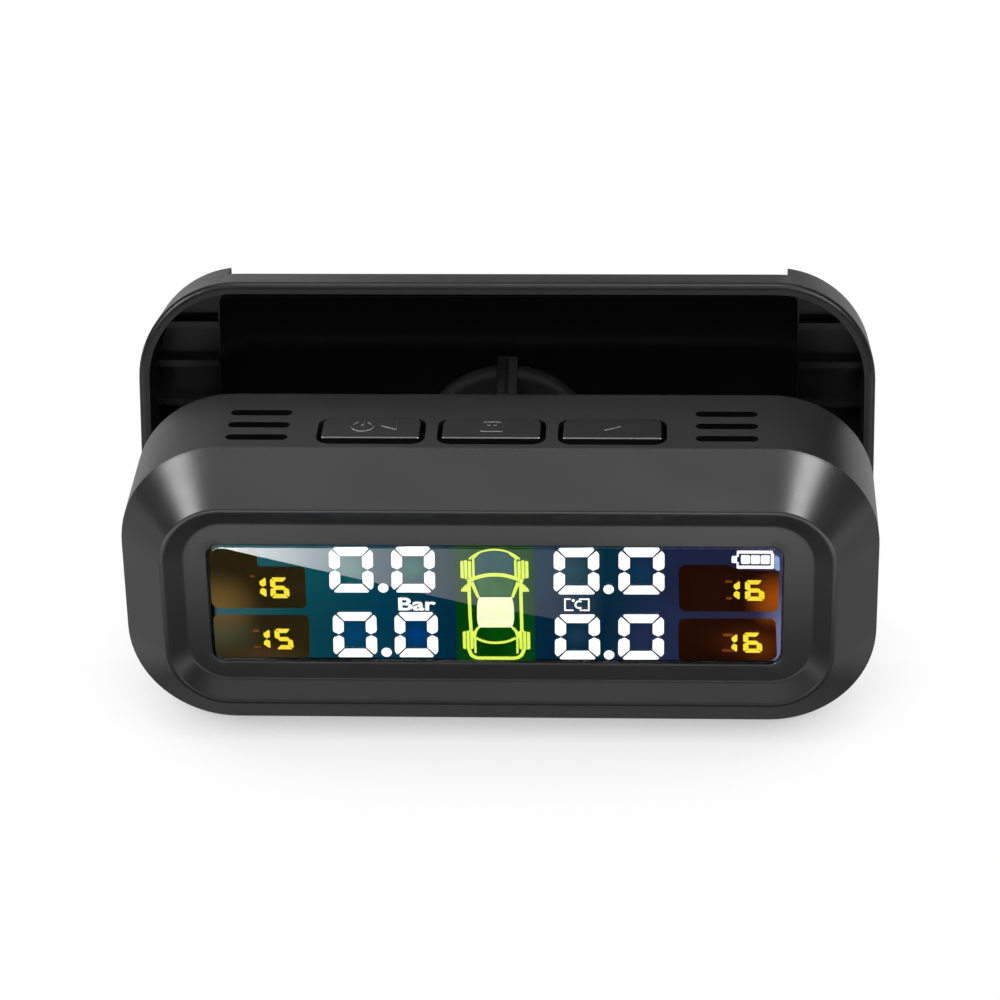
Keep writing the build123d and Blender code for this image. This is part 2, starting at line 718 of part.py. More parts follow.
named = list(single.items()) + switch_parts + plunger_parts + cap_parts + felt_parts + pad_parts
lo = [1e9] * 3
hi = [-1e9] * 3
for node, bp in named:
    bp.part.label = node
    export_step(bp.part, "parts/" + node + ".step")
    bb = bp.part.bounding_box()
    for i, (a, b) in enumerate(((bb.min.X, bb.max.X), (bb.min.Y, bb.max.Y), (bb.min.Z, bb.max.Z))):
        lo[i] = min(lo[i], a)
        hi[i] = max(hi[i], b)
    print("%-20s solids %2d  vol %9.2f" % (node, len(bp.part.solids()), bp.part.volume))
print("box", [round(v, 3) for v in lo], [round(v, 3) for v in hi], "mid y", round((lo[1] + hi[1]) / 2, 4))
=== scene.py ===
import math

import bmesh
import bpy
from mathutils import Matrix, Vector


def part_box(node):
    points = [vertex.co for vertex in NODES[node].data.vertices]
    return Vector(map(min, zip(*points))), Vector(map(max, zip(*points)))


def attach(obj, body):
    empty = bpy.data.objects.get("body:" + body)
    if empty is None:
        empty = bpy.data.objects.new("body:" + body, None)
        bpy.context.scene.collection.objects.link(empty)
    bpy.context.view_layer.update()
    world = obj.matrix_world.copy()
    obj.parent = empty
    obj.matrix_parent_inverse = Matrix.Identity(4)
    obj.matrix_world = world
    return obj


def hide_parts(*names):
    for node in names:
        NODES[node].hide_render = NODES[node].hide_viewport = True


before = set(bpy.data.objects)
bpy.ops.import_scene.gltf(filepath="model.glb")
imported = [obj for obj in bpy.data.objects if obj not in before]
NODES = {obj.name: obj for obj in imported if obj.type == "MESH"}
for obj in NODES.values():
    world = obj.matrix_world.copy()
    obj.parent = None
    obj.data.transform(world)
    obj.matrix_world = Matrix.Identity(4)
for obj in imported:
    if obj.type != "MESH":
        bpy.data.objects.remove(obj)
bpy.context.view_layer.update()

MM = 0.001
RY, MZ = -19.504, 23.625            # ridge plane and mid height, mm
TILT = math.radians(14.0)
BN = (0.0, math.cos(TILT), -math.sin(TILT))    # out of the back of the bracket
UN = (0.0, math.sin(TILT), math.cos(TILT))     # up its slope


# ------------------------------------------------------------------ frames
def dp(x, y, z):
    """Display frame (mm, from the middle of the ridge) to metres in the shared frame."""
    return Vector((x * MM, (y + RY) * MM, (z + MZ) * MM))


def tpnt(x, d, h):
    """Bracket frame (across, behind the rim, up the slope; mm) to metres."""
    return Vector((
        x * MM,
        (RY + 27.0 + BN[1] * d + UN[1] * h) * MM,
        (MZ + 11.5 + BN[2] * d + UN[2] * h) * MM,
    ))


# ------------------------------------------------------------------ colours
def lin(c):
    return c / 12.92 if c <= 0.04045 else ((c + 0.055) / 1.055) ** 2.4


def srgb(r, g, b):
    return (lin(r / 255), lin(g / 255), lin(b / 255), 1.0)


# ------------------------------------------------------------------ node helpers
class Mat:
    def __init__(self, name):
        self.mat = bpy.data.materials.new(name)
        self.mat.use_nodes = True
        self.nt = self.mat.node_tree
        self.nt.nodes.clear()
        self.out = self.nt.nodes.new("ShaderNodeOutputMaterial")
        self.bsdf = self.nt.nodes.new("ShaderNodeBsdfPrincipled")
        self.nt.links.new(self.bsdf.outputs[0], self.out.inputs["Surface"])
        self.tc = self.nt.nodes.new("ShaderNodeTexCoord")
        self.obj = self.tc.outputs["Object"]

    def n(self, kind, **props):
        node = self.nt.nodes.new(kind)
        for k, v in props.items():
            setattr(node, k, v)
        return node

    def link(self, a, b):
        self.nt.links.new(a, b)

    def noise(self, scale, detail=2.0, rough=0.5, vec=None, distort=0.0):
        node = self.n("ShaderNodeTexNoise")
        node.inputs["Scale"].default_value = scale
        node.inputs["Detail"].default_value = detail
        node.inputs["Roughness"].default_value = rough
        node.inputs["Distortion"].default_value = distort
        self.link(vec or self.obj, node.inputs["Vector"])
        return node.outputs["Fac"]

    def ranged(self, src, a, b, c, d, smooth=False):
        node = self.n("ShaderNodeMapRange")
        if smooth:
            node.interpolation_type = "SMOOTHSTEP"
        for i, v in zip((1, 2, 3, 4), (a, b, c, d)):
            node.inputs[i].default_value = v
        self.link(src, node.inputs[0])
        return node.outputs[0]

    def math(self, op, a, b=None):
        node = self.n("ShaderNodeMath", operation=op)
        for i, v in ((0, a), (1, b)):
            if v is None:
                continue
            if isinstance(v, (int, float)):
                node.inputs[i].default_value = v
            else:
                self.link(v, node.inputs[i])
        return node.outputs[0]

    def mix(self, fac, a, b, blend="MIX"):
        node = self.n("ShaderNodeMix", data_type="RGBA", blend_type=blend)
        for i, v in ((0, fac), (6, a), (7, b)):
            if isinstance(v, (int, float)):
                node.inputs[i].default_value = v
            elif isinstance(v, tuple):
                node.inputs[i].default_value = v
            else:
                self.link(v, node.inputs[i])
        return node.outputs[2]

    def ramp(self, src, stops):
        node = self.n("ShaderNodeValToRGB")
        el = node.color_ramp.elements
        el[0].position, el[0].color = stops[0]
        el[1].position, el[1].color = stops[-1]
        for p, c in stops[1:-1]:
            e = el.new(p)
            e.color = c
        self.link(src, node.inputs[0])
        return node.outputs[0]

    def bump(self, height, distance, strength=1.0, normal=None):
        node = self.n("ShaderNodeBump")
        node.inputs["Strength"].default_value = strength
        node.inputs["Distance"].default_value = distance
        self.link(height, node.inputs["Height"])
        if normal is not None:
            self.link(normal, node.inputs["Normal"])
        return node.outputs[0]

    def set(self, **kw):
        for k, v in kw.items():
            key = {"base": "Base Color", "rough": "Roughness", "metal": "Metallic", "ior": "IOR",
                   "spec": "Specular IOR Level", "coat": "Coat Weight", "coat_rough": "Coat Roughness",
                   "emit": "Emission Color", "power": "Emission Strength", "normal": "Normal",
                   "trans": "Transmission Weight", "sub": "Subsurface Weight",
                   "aniso": "Anisotropic", "sheen": "Sheen Weight", "alpha": "Alpha"}[k]
            sock = self.bsdf.inputs[key]
            if isinstance(v, (int, float, tuple)):
                sock.default_value = v
            else:
                self.link(v, sock)
        return self


def tone(c, k):
    return (min(1.0, c[0] * k), min(1.0, c[1] * k), min(1.0, c[2] * k), 1.0)


def moulded(name, colour, rough, spec=0.5, grain=0.11, height=0.0016, cloud=0.05, wear=0.0,
            wear_tone=3.0, coat=0.0, coat_rough=0.08, speck=0.0):
    """Moulded plastic: fine grain, slow roughness drift, faint flow mottling, rubbed edges."""
    m = Mat(name)
    fine = m.noise(1.0 / (grain * MM), 3.0, 0.6)
    mid = m.noise(420.0, 2.0, 0.55)
    slow = m.noise(55.0, 3.0, 0.5, distort=0.4)
    base = m.mix(m.ranged(slow, 0.3, 0.7, 0.0, 1.0), tone(colour, 0.82), tone(colour, 1.16))
    base = m.mix(m.ranged(fine, 0.35, 0.7, 0.0, 0.35), base, tone(colour, 1.5))
    r = m.ranged(m.math("ADD", m.math("MULTIPLY", slow, 0.65), m.math("MULTIPLY", mid, 0.35)),
                 0.32, 0.68, rough - cloud, rough + cloud)
    if wear > 0.0:
        bev = m.n("ShaderNodeBevel", samples=4)
        bev.inputs["Radius"].default_value = 0.32 * MM
        geo = m.n("ShaderNodeNewGeometry")
        dot = m.n("ShaderNodeVectorMath", operation="DOT_PRODUCT")
        m.link(bev.outputs[0], dot.inputs[0])
        m.link(geo.outputs["Normal"], dot.inputs[1])
        edge = m.ranged(dot.outputs["Value"], 0.995, 0.90, 0.0, 1.0)
        patchy = m.ranged(m.noise(900.0, 3.0, 0.6), 0.42, 0.62, 0.0, 1.0)
        rub = m.math("MULTIPLY", m.math("MULTIPLY", edge, patchy), wear)
        base = m.mix(rub, base, tone(colour, wear_tone))
        r = m.math("SUBTRACT", r, m.math("MULTIPLY", rub, 0.12))
    m.set(base=base, rough=r, spec=spec, coat=coat, coat_rough=coat_rough,
          normal=m.bump(fine, height * MM, 1.0))
    return m.mat


def metal(name, colour, rough, brushed=0.0, grain=0.05, tint=None):
    """Plated or turned metal: brushed direction, roughness drift, faint spots of tarnish."""
    m = Mat(name)
    stretch = m.n("ShaderNodeMapping")
    stretch.inputs["Scale"].default_value = (1.0, 14.0, 14.0) if brushed else (1.0, 1.0, 1.0)
    m.link(m.obj, stretch.inputs["Vector"])
    lines = m.noise(2600.0, 3.0, 0.6, vec=stretch.outputs[0])
    spots = m.noise(800.0, 4.0, 0.6)
    base = m.mix(m.ranged(spots, 0.45, 0.72, 0.0, 0.8), colour, tint or tone(colour, 0.62))
    m.set(base=base, metal=1.0, rough=m.ranged(lines, 0.3, 0.7, rough - 0.08, rough + 0.1),
          normal=m.bump(lines, (0.002 + 0.004 * brushed) * MM, 0.8))
    return m.mat


# ------------------------------------------------------------------ materials
K = {}
K["case"] = moulded("case_satin_black", srgb(29, 29, 30), 0.30, grain=0.12, height=0.0008,
                    cloud=0.03, wear=0.35, wear_tone=2.6)
K["housing"] = moulded("housing_satin_black", srgb(26, 26, 27), 0.34, grain=0.13, height=0.0010,
                       cloud=0.035, wear=0.35, wear_tone=2.6)
K["bracket"] = moulded("bracket_satin_black", srgb(11, 11, 12), 0.36, 0.32, grain=0.14, height=0.0010,
                       cloud=0.04, wear=0.4, wear_tone=3.0)
K["hub"] = moulded("hub_matt_black", srgb(12, 12, 13), 0.62, 0.12, grain=0.16, height=0.0014, cloud=0.05)
# painted shade: a near-black material for the inner walls of the vent slots, standing in for the shade inside them
K["slot_wall"] = moulded("slot_wall_black", srgb(5, 5, 5), 0.7, 0.08, grain=0.13, height=0.001)
# painted highlights for the button caps: pale grey for the side walls of the raised icons, mid grey for a line along
# the front-top edge, near white for glints at the front corners
K["icon_edge_highlight"] = moulded("icon_edge_painted_highlight", srgb(190, 190, 190), 0.35, cloud=0.05)
K["crown_highlight"] = moulded("crown_painted_highlight", srgb(96, 96, 98), 0.25, cloud=0.05)
K["corner_glint"] = moulded("corner_painted_glint", srgb(225, 225, 225), 0.2, cloud=0.05)
K["button"] = moulded("button_black", srgb(14, 14, 15), 0.20, grain=0.10, height=0.0008,
                      cloud=0.03, wear=0.5, wear_tone=2.8)
K["gloss"] = moulded("gloss_black_panel", srgb(5, 5, 6), 0.14, grain=0.3, height=0.0003,
                     cloud=0.03)
K["white_plastic"] = moulded("white_moulding", srgb(214, 214, 208), 0.5, cloud=0.05)
K["washer"] = moulded("slip_washer", srgb(206, 200, 184), 0.38, cloud=0.05)
K["chip"] = moulded("chip_epoxy", srgb(24, 25, 27), 0.55, grain=0.06, height=0.003)
K["led"] = moulded("led_body", srgb(240, 236, 214), 0.35, cloud=0.04)
K["tape"] = moulded("black_foam_tape", srgb(18, 18, 19), 0.85, grain=0.2, height=0.02)
K["foam"] = moulded("black_foam", srgb(26, 26, 27), 0.95, grain=0.35, height=0.05)
K["white_film"] = moulded("white_film", srgb(232, 234, 236), 0.45, grain=0.09, height=0.0006)
K["black_steel"] = metal("black_steel", (0.030, 0.031, 0.034, 1), 0.36, brushed=0.4, tint=(0.07, 0.068, 0.065, 1))
K["bright_steel"] = metal("bright_steel", (0.56, 0.55, 0.53, 1), 0.28, brushed=0.6)
K["can"] = metal("bright_can", (0.68, 0.67, 0.64, 1), 0.24, brushed=0.3)
K["copper"] = metal("copper_wire", (0.62, 0.27, 0.13, 1), 0.3, brushed=0.2)


def board_material():
    m = Mat("circuit_board")
    sep = m.n("ShaderNodeSeparateXYZ")
    m.link(m.obj, sep.inputs[0])
    wave = m.n("ShaderNodeTexWave", wave_type="BANDS", bands_direction="X")
    wave.inputs["Scale"].default_value = 320.0
    wave.inputs["Distortion"].default_value = 3.0
    wave.inputs["Detail"].default_value = 1.0
    m.link(m.obj, wave.inputs["Vector"])
    track = m.ranged(wave.outputs["Fac"], 0.72, 0.80, 0.0, 1.0)
    voro = m.n("ShaderNodeTexVoronoi", feature="F1")
    voro.inputs["Scale"].default_value = 260.0
    m.link(m.obj, voro.inputs["Vector"])
    via = m.ranged(voro.outputs["Distance"], 0.12, 0.16, 1.0, 0.0)
    base = m.mix(m.ranged(m.noise(300.0), 0.3, 0.7, 0.0, 1.0), srgb(12, 60, 34), srgb(16, 78, 42))
    base = m.mix(m.math("MULTIPLY", track, 0.7), base, srgb(36, 118, 66))
    base = m.mix(via, base, srgb(196, 190, 160))
    m.set(base=base, rough=0.35, normal=m.bump(m.math("ADD", track, via), 0.03 * MM, 0.7))
    return m.mat


def flex_material():
    m = Mat("flex_film")
    wave = m.n("ShaderNodeTexWave", wave_type="BANDS", bands_direction="X")
    wave.inputs["Scale"].default_value = 520.0
    m.link(m.obj, wave.inputs["Vector"])
    lines = m.ranged(wave.outputs["Fac"], 0.55, 0.75, 0.0, 1.0)
    base = m.mix(lines, srgb(150, 88, 24), srgb(212, 142, 60))
    m.set(base=base, rough=m.ranged(m.noise(400.0), 0.3, 0.7, 0.28, 0.42), normal=m.bump(lines, 0.02 * MM))
    return m.mat


def wrap_material():
    m = Mat("battery_wrap")
    crease = m.noise(160.0, 3.0, 0.6, distort=1.2)
    base = m.mix(m.ranged(crease, 0.3, 0.7, 0.0, 1.0), srgb(140, 144, 150), srgb(186, 190, 196))
    m.set(base=base, metal=0.6, rough=m.ranged(crease, 0.3, 0.7, 0.25, 0.42), normal=m.bump(crease, 0.08 * MM, 0.6))
    return m.mat


def felt_material():
    m = Mat("black_felt")
    stretch = m.n("ShaderNodeMapping")
    stretch.inputs["Scale"].default_value = (1.0, 5.0, 1.0)
    m.link(m.obj, stretch.inputs["Vector"])
    fibre = m.noise(2200.0, 4.0, 0.7, vec=stretch.outputs[0], distort=0.8)
    base = m.mix(m.ranged(fibre, 0.35, 0.7, 0.0, 1.0), (0.0003, 0.0003, 0.0003, 1), (0.002, 0.002, 0.0022, 1))
    m.set(base=base, rough=0.95, spec=0.02, normal=m.bump(fibre, 0.06 * MM, 0.8))
    return m.mat


def solar_material():
    m = Mat("solar_silicon")
    sep = m.n("ShaderNodeSeparateXYZ")
    m.link(m.obj, sep.inputs[0])

    def lines(src, pitch, width, offset):
        cell = m.math("FRACT", m.math("DIVIDE", m.math("ADD", src, offset * MM), pitch * MM))
        return m.ranged(m.math("ABSOLUTE", m.math("SUBTRACT", cell, 0.5)), width, width * 1.4, 1.0, 0.0)

    fingers = lines(sep.outputs["Z"], 1.55, 0.035, 0.3)
    bus = lines(sep.outputs["X"], 3.3, 0.05, 1.65)
    grid = m.math("MAXIMUM", m.math("MULTIPLY", fingers, 0.55), bus)
    crystal = m.n("ShaderNodeTexVoronoi", feature="F1")
    crystal.inputs["Scale"].default_value = 420.0
    m.link(m.obj, crystal.inputs["Vector"])
    base = m.mix(m.ranged(crystal.outputs["Distance"], 0.1, 0.7, 0.0, 1.0), srgb(12, 16, 44), srgb(22, 30, 72))
    base = m.mix(grid, base, srgb(168, 170, 174))
    m.set(base=base, rough=0.3, coat=0.2, coat_rough=0.05, normal=m.bump(grid, 0.01 * MM))
    return m.mat


def adhesive_material():
    m = Mat("adhesive_tape")
    weave = m.noise(1500.0, 3.0, 0.6)
    soil = m.noise(140.0, 3.0, 0.6)
    base = m.mix(m.ranged(soil, 0.35, 0.7, 0.0, 1.0), srgb(158, 34, 30), srgb(186, 48, 42))
    m.set(base=base, rough=m.ranged(weave, 0.3, 0.7, 0.42, 0.56), normal=m.bump(weave, 0.02 * MM))
    return m.mat


def clear_material(name, ior, rough, spec, tint=(1, 1, 1, 1), drift=0.02, coat=0.0):
    m = Mat(name)
    smear = m.noise(70.0, 4.0, 0.6, distort=1.0)
    fine = m.noise(3000.0, 2.0)
    m.set(base=m.mix(m.ranged(smear, 0.35, 0.7, 0.0, 1.0), tint, tone(tint, 0.985)),
          rough=m.ranged(smear, 0.35, 0.75, rough, rough + drift), trans=1.0, ior=ior, spec=spec,
          normal=m.bump(fine, 0.00004 * MM, 0.3))
    if coat:
        m.set(coat=coat, coat_rough=m.ranged(smear, 0.35, 0.75, 0.0, 0.012))
        m.bsdf.inputs["Coat IOR"].default_value = 2.0
    return m.mat


K["board"] = board_material()
K["flex"] = flex_material()
K["wrap"] = wrap_material()
K["felt"] = felt_material()
K["solar"] = solar_material()
K["adhesive"] = adhesive_material()
K["lens"] = clear_material("clear_lens", 1.14, 0.0, 0.5, drift=0.003, coat=1.0)
K["resin"] = clear_material("solar_resin", 1.5, 0.05, 0.5)
K["glass"] = clear_material("screen_glass", 1.5, 0.02, 0.3)
K["acrylic"] = clear_material("clear_acrylic", 1.49, 0.08, 0.4)


# ------------------------------------------------------------------ mesh helpers
def rrect(w, h, r, n=18, cx=0.0, cz=0.0, side=3):
    """Rounded rectangle as a closed list of (x, z), n + 1 points on each corner."""
    pts = []
    corners = ((1, 1, 0), (-1, 1, 90), (-1, -1, 180), (1, -1, 270))
    for sx, sz, a0 in corners:
        ox, oz = cx + sx * (w / 2 - r), cz + sz * (h / 2 - r)
        for i in range(n + 1):
            a = math.radians(a0 + 90.0 * i / n)
            pts.append((ox + r * math.cos(a), oz + r * math.sin(a)))
    out = []
    step = n + 1
    for k in range(4):
        out += pts[k * step:(k + 1) * step]
        a, b = pts[(k + 1) * step - 1], pts[((k + 1) * step) % len(pts)]
        for j in range(1, side + 1):
            f = j / (side + 1)
            out.append((a[0] + (b[0] - a[0]) * f, a[1] + (b[1] - a[1]) * f))
    return out


def rounded_profile(pts, seg=5):
    """Polyline of (a, b, radius): each corner with a radius becomes a short arc."""
    out = []
    for i, (a, b, r) in enumerate(pts):
        if r <= 0 or i == 0 or i == len(pts) - 1:
            out.append((a, b))
            continue
        p = Vector((a, b))
        u = Vector(pts[i - 1][:2]) - p
        v = Vector(pts[i + 1][:2]) - p
        lu, lv = u.length, v.length
        u.normalize()
        v.normalize()
        half = u.angle(v) / 2
        if half > math.radians(89):
            out.append((a, b))
            continue
        t = min(r / math.tan(half), lu * 0.48, lv * 0.48)
        r = t * math.tan(half)
        c = p + (u + v).normalized() * (r / math.sin(half))
        s, e = p + u * t - c, p + v * t - c
        total = s.angle(e)
        cross = s.x * e.y - s.y * e.x
        for k in range(seg + 1):
            ang = total * k / seg * (1 if cross > 0 else -1)
            q = c + Vector((s.x * math.cos(ang) - s.y * math.sin(ang), s.x * math.sin(ang) + s.y * math.cos(ang)))
            out.append((q.x, q.y))
    return out


def skin(name, rings, closed=False, cap_start=False, cap_end=False):
    """A mesh lofted through rings of equal length."""
    bm = bmesh.new()
    rows = [[bm.verts.new(p) for p in ring] for ring in rings]
    n = len(rows[0])
    pairs = list(zip(rows[:-1], rows[1:]))
    if closed:
        pairs.append((rows[-1], rows[0]))
    for a, b in pairs:
        for i in range(n):
            j = (i + 1) % n
            bm.faces.new((a[i], a[j], b[j], b[i]))
    if cap_start:
        bm.faces.new(list(reversed(rows[0])))
    if cap_end:
        bm.faces.new(rows[-1])
    bmesh.ops.recalc_face_normals(bm, faces=bm.faces)
    return to_object(name, bm)


def to_object(name, bm, smooth=32.0, weighted=True):
    for f in bm.faces:
        f.smooth = True
    limit = math.radians(smooth)
    for e in bm.edges:
        if len(e.link_faces) == 2:
            e.smooth = e.calc_face_angle(0.0) < limit
    mesh = bpy.data.meshes.new(name)
    bm.to_mesh(mesh)
    bm.free()
    ob = bpy.data.objects.new(name, mesh)
    bpy.context.scene.collection.objects.link(ob)
    if weighted:
        mod = ob.modifiers.new("weighted", "WEIGHTED_NORMAL")
        mod.keep_sharp = True
        mod.weight = 60
    return ob


def plates(name, polys, y_front, y_back):
    """Thin flat shapes on the screen, from outlines of (x, z) in mm."""
    bm = bmesh.new()
    for poly in polys:
        front = [bm.verts.new(dp(x, y_front, z)) for x, z in poly]
        back = [bm.verts.new(dp(x, y_back, z)) for x, z in poly]
        bm.faces.new(front)
        bm.faces.new(list(reversed(back)))
        n = len(poly)
        for i in range(n):
            j = (i + 1) % n
            bm.faces.new((front[j], front[i], back[i], back[j]))
    bmesh.ops.recalc_face_normals(bm, faces=bm.faces)
    return to_object(name, bm, smooth=20.0, weighted=False)


def finish_piece(ob, mat, body, nodes):
    ob.data.materials.clear()
    ob.data.materials.append(mat)
    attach(ob, body)
    if nodes:
        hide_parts(*nodes)
    return ob


def reworked(node, name, width, segments=3, angle=30.0, pick=None, limit=0.6, smooth=32.0, clamp=True):
    """A copy of a CAD node's shape with its triangles merged and its edges properly rounded."""
    bm = bmesh.new()
    bm.from_mesh(NODES[node].data)
    bmesh.ops.remove_doubles(bm, verts=bm.verts, dist=2e-7)
    if limit > 0.0:
        bmesh.ops.dissolve_limit(bm, angle_limit=math.radians(limit), verts=bm.verts, edges=bm.edges)
    thr = math.radians(angle)
    edges = [e for e in bm.edges if len(e.link_faces) == 2 and e.calc_face_angle(0.0) > thr
             and (pick is None or pick(e))]
    if edges and width > 0:
        bmesh.ops.bevel(bm, geom=edges, offset=width * MM, offset_type="OFFSET", segments=segments,
                        profile=0.5, affect="EDGES", clamp_overlap=clamp, miter_outer="ARC",
                        miter_inner="SHARP", material=-1)
    ob = to_object(name, bm, smooth=smooth)
    return ob


# ------------------------------------------------------------------ front bezel
W0, H0, R0 = 115.0, 47.25, 16.3


def inset_ring(inset, y, n=22):
    r = max(0.4, R0 - inset)
    return [dp(x, y, z) for x, z in rrect(W0 - 2 * inset, H0 - 2 * inset, r, n)]


def window_ring(grow, y, n=22):
    return [dp(x, y, z) for x, z in rrect(86.8 + 2 * grow, 20.4 + 2 * grow, 2.0 + grow, n, -0.5, -0.4)]


def window_mix(f, y, n=22):
    """Between the flat's outer outline and the window's."""
    a = rrect(W0 - 20.0, H0 - 20.0, R0 - 10.0, n)
    b = rrect(86.8 + 0.5, 20.4 + 0.5, 2.25, n, -0.5, -0.4)
    return [dp(p[0] + (q[0] - p[0]) * f, y, p[1] + (q[1] - p[1]) * f) for p, q in zip(a, b)]


profile = rounded_profile([
    (3.0, 0.0, 0), (0.22, 0.0, 0.05), (0.2, -0.2, 0.05), (0.0, -0.22, 0.14),
    (3.2, -3.61, 0), (6.7, -7.3, 0.72), (7.22, -7.3, 0.9), (10.0, -5.4, 1.6), (10.6, -5.4, 0),
], 6)
rings = [inset_ring(a, y) for a, y in profile[:-1]]
rings += [window_mix(f, -5.4) for f in (0.25, 0.6, 1.0)]
for k in range(1, 6):
    a = math.radians(90 * k / 5)
    rings.append(window_ring(0.25 * (1 - math.sin(a)), -5.4 + 0.25 * (1 - math.cos(a))))
rings.append(window_ring(0.0, -4.4))
rings.append(window_ring(0.0, -3.7))
rings.append(inset_ring(6.396, -3.7))
bezel = skin("bezel_shell", rings, closed=True)
finish_piece(bezel, K["case"], "display", ["front_bezel"])

# ------------------------------------------------------------------ rear housing
top_z = 23.625


def housing_edges(e):
    """The outside rims of the wells, vents, socket opening and back recesses."""
    a, b = e.verts[0].co / MM, e.verts[1].co / MM
    for p in (a, b):
        y, z = p.y - RY, p.z - MZ
        top = abs(z - top_z) < 0.01 and abs(p.x) < 46 and 1.0 < y < 16.5
        side = abs(p.x - 57.5) < 0.01 and 4.8 < y < 9.6 and abs(z) < 5.2
        back = abs(y - 19.0) < 0.01 and abs(p.x) < 54 and abs(z) < 17.5
        if not (top or side or back):
            return False
    return True


housing = reworked("rear_housing", "housing_shell", 0.16, 2, 40.0, housing_edges)
finish_piece(housing, K["housing"], "display", ["rear_housing"])
# painted shade: the inner side walls of the vents take the near-black material in place of the housing's
housing.data.materials.append(K["slot_wall"])
for p in housing.data.polygons:
    c = p.center
    x, y, z = c.x / MM + 1.0, c.y / MM - RY, c.z / MM - MZ
    if 30.0 < abs(x) < 41.0 and 2.2 < y < 12.8 and 20.3 < z < 23.56 and abs(p.normal.z) < 0.5:
        p.material_index = 1

clevis = reworked("hinge_clevis", "clevis_casting", 0.22, 2, 35.0)
finish_piece(clevis, K["housing"], "display", ["hinge_clevis"])

# ------------------------------------------------------------------ button caps
CAP_TOP = 23.975
for side in ("left", "centre", "right"):
    lo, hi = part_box("button_" + side)
    mid_x = (lo.x + hi.x) / 2 / MM

    def cap_edges(e, cx=mid_x):
        for v in e.verts:
            x, y, z = v.co.x / MM - cx, v.co.y / MM - RY, v.co.z / MM - MZ
            if abs(x) > 7.46 or z < 22.0 or z > CAP_TOP + 0.03:
                return False
            if abs(x) < 7.0 and 3.2 < y < 8.9 and z > CAP_TOP - 0.07:
                return False
        return True

    cap = reworked("button_" + side, "button_cap_" + side, 0.22, 5, 25.0, cap_edges,
                   limit=0.0 if side == "right" else 0.6, clamp=False)
    finish_piece(cap, K["button"], "button_" + side + "_body", ["button_" + side])
    # painted highlights: faces of each cap are sorted below onto these lighter materials in place of real highlights
    for key in ("icon_edge_highlight", "crown_highlight", "corner_glint"):
        cap.data.materials.append(K[key])
    for p in cap.data.polygons:
        c = p.center
        x, y, z = c.x / MM - mid_x, c.y / MM - RY, c.z / MM - MZ
        # painted highlight on the side walls of the raised icons
        if abs(x) < 6.0 and 3.2 < y < 8.9 and z > CAP_TOP + 0.01 and abs(p.normal.z) < 0.6:
            p.material_index = 1
        elif y < 4.4 and z > CAP_TOP - 0.5:
            # painted glints on the rounded front corners
            if Vector((abs(p.normal.x), p.normal.y, p.normal.z)).dot(Vector((0.427, -0.630, 0.649))) > 0.955:
                p.material_index = 3
            # painted highlight line along the front-top bevel
            elif p.normal.dot(Vector((0.0, -0.755, 0.656))) > 0.975:
                p.material_index = 2

# ------------------------------------------------------------------ bracket
tray = reworked("mount_tray", "bracket_tray", 0.18, 2, 40.0)
finish_piece(tray, K["bracket"], "bracket", ["mount_tray"])

hub = reworked("hinge_hub", "bracket_hub", 0.25, 2, 40.0)
finish_piece(hub, K["hub"], "bracket", ["hinge_hub"])

panel = reworked("centre_panel", "bracket_centre_panel", 0.22, 3, 40.0)
finish_piece(panel, K["gloss"], "bracket", ["centre_panel"])

# ------------------------------------------------------------------ lens
WX, WZ = -0.5, -0.4
lens_rings = []
for grow, y in rounded_profile([(-0.6, -5.3, 0), (-0.15, -5.3, 0.12), (-0.15, -4.9, 0)], 4):
    lens_rings.append([dp(x, y, z) for x, z in rrect(86.8 + 2 * grow, 20.4 + 2 * grow, 2.0 + grow, 14, WX, WZ)])
lens = skin("lens_window", lens_rings, cap_start=True, cap_end=True)
finish_piece(lens, K["lens"], "display", ["lens"])

# ------------------------------------------------------------------ the lit screen
Y_BG = (-4.80, -4.66)       # backing sheet, printed with the coloured fields
Y_FIELD = (-4.83, -4.80)
Y_MARK = (-4.86, -4.83)


def screen_material(name, colour_node, power=1.0):
    m = Mat(name)
    m.set(base=(0.002, 0.002, 0.002, 1), rough=0.5, spec=0.0)
    m.set(emit=colour_node(m), power=power * 1.2)
    return m.mat


def axis_of(m, axis):
    sep = m.n("ShaderNodeSeparateXYZ")
    m.link(m.obj, sep.inputs[0])
    return sep.outputs[axis]


def blob(m, x, z, rx, rz, inner=0.0):
    """1 at a point of the screen, falling to 0 at an ellipse round it."""
    sx = m.math("DIVIDE", m.math("SUBTRACT", axis_of(m, "X"), x * MM), rx * MM)
    sz = m.math("DIVIDE", m.math("SUBTRACT", axis_of(m, "Z"), (z + MZ) * MM), rz * MM)
    d = m.math("SQRT", m.math("ADD", m.math("MULTIPLY", sx, sx), m.math("MULTIPLY", sz, sz)))
    return m.ranged(d, inner, 1.0, 1.0, 0.0, smooth=True)


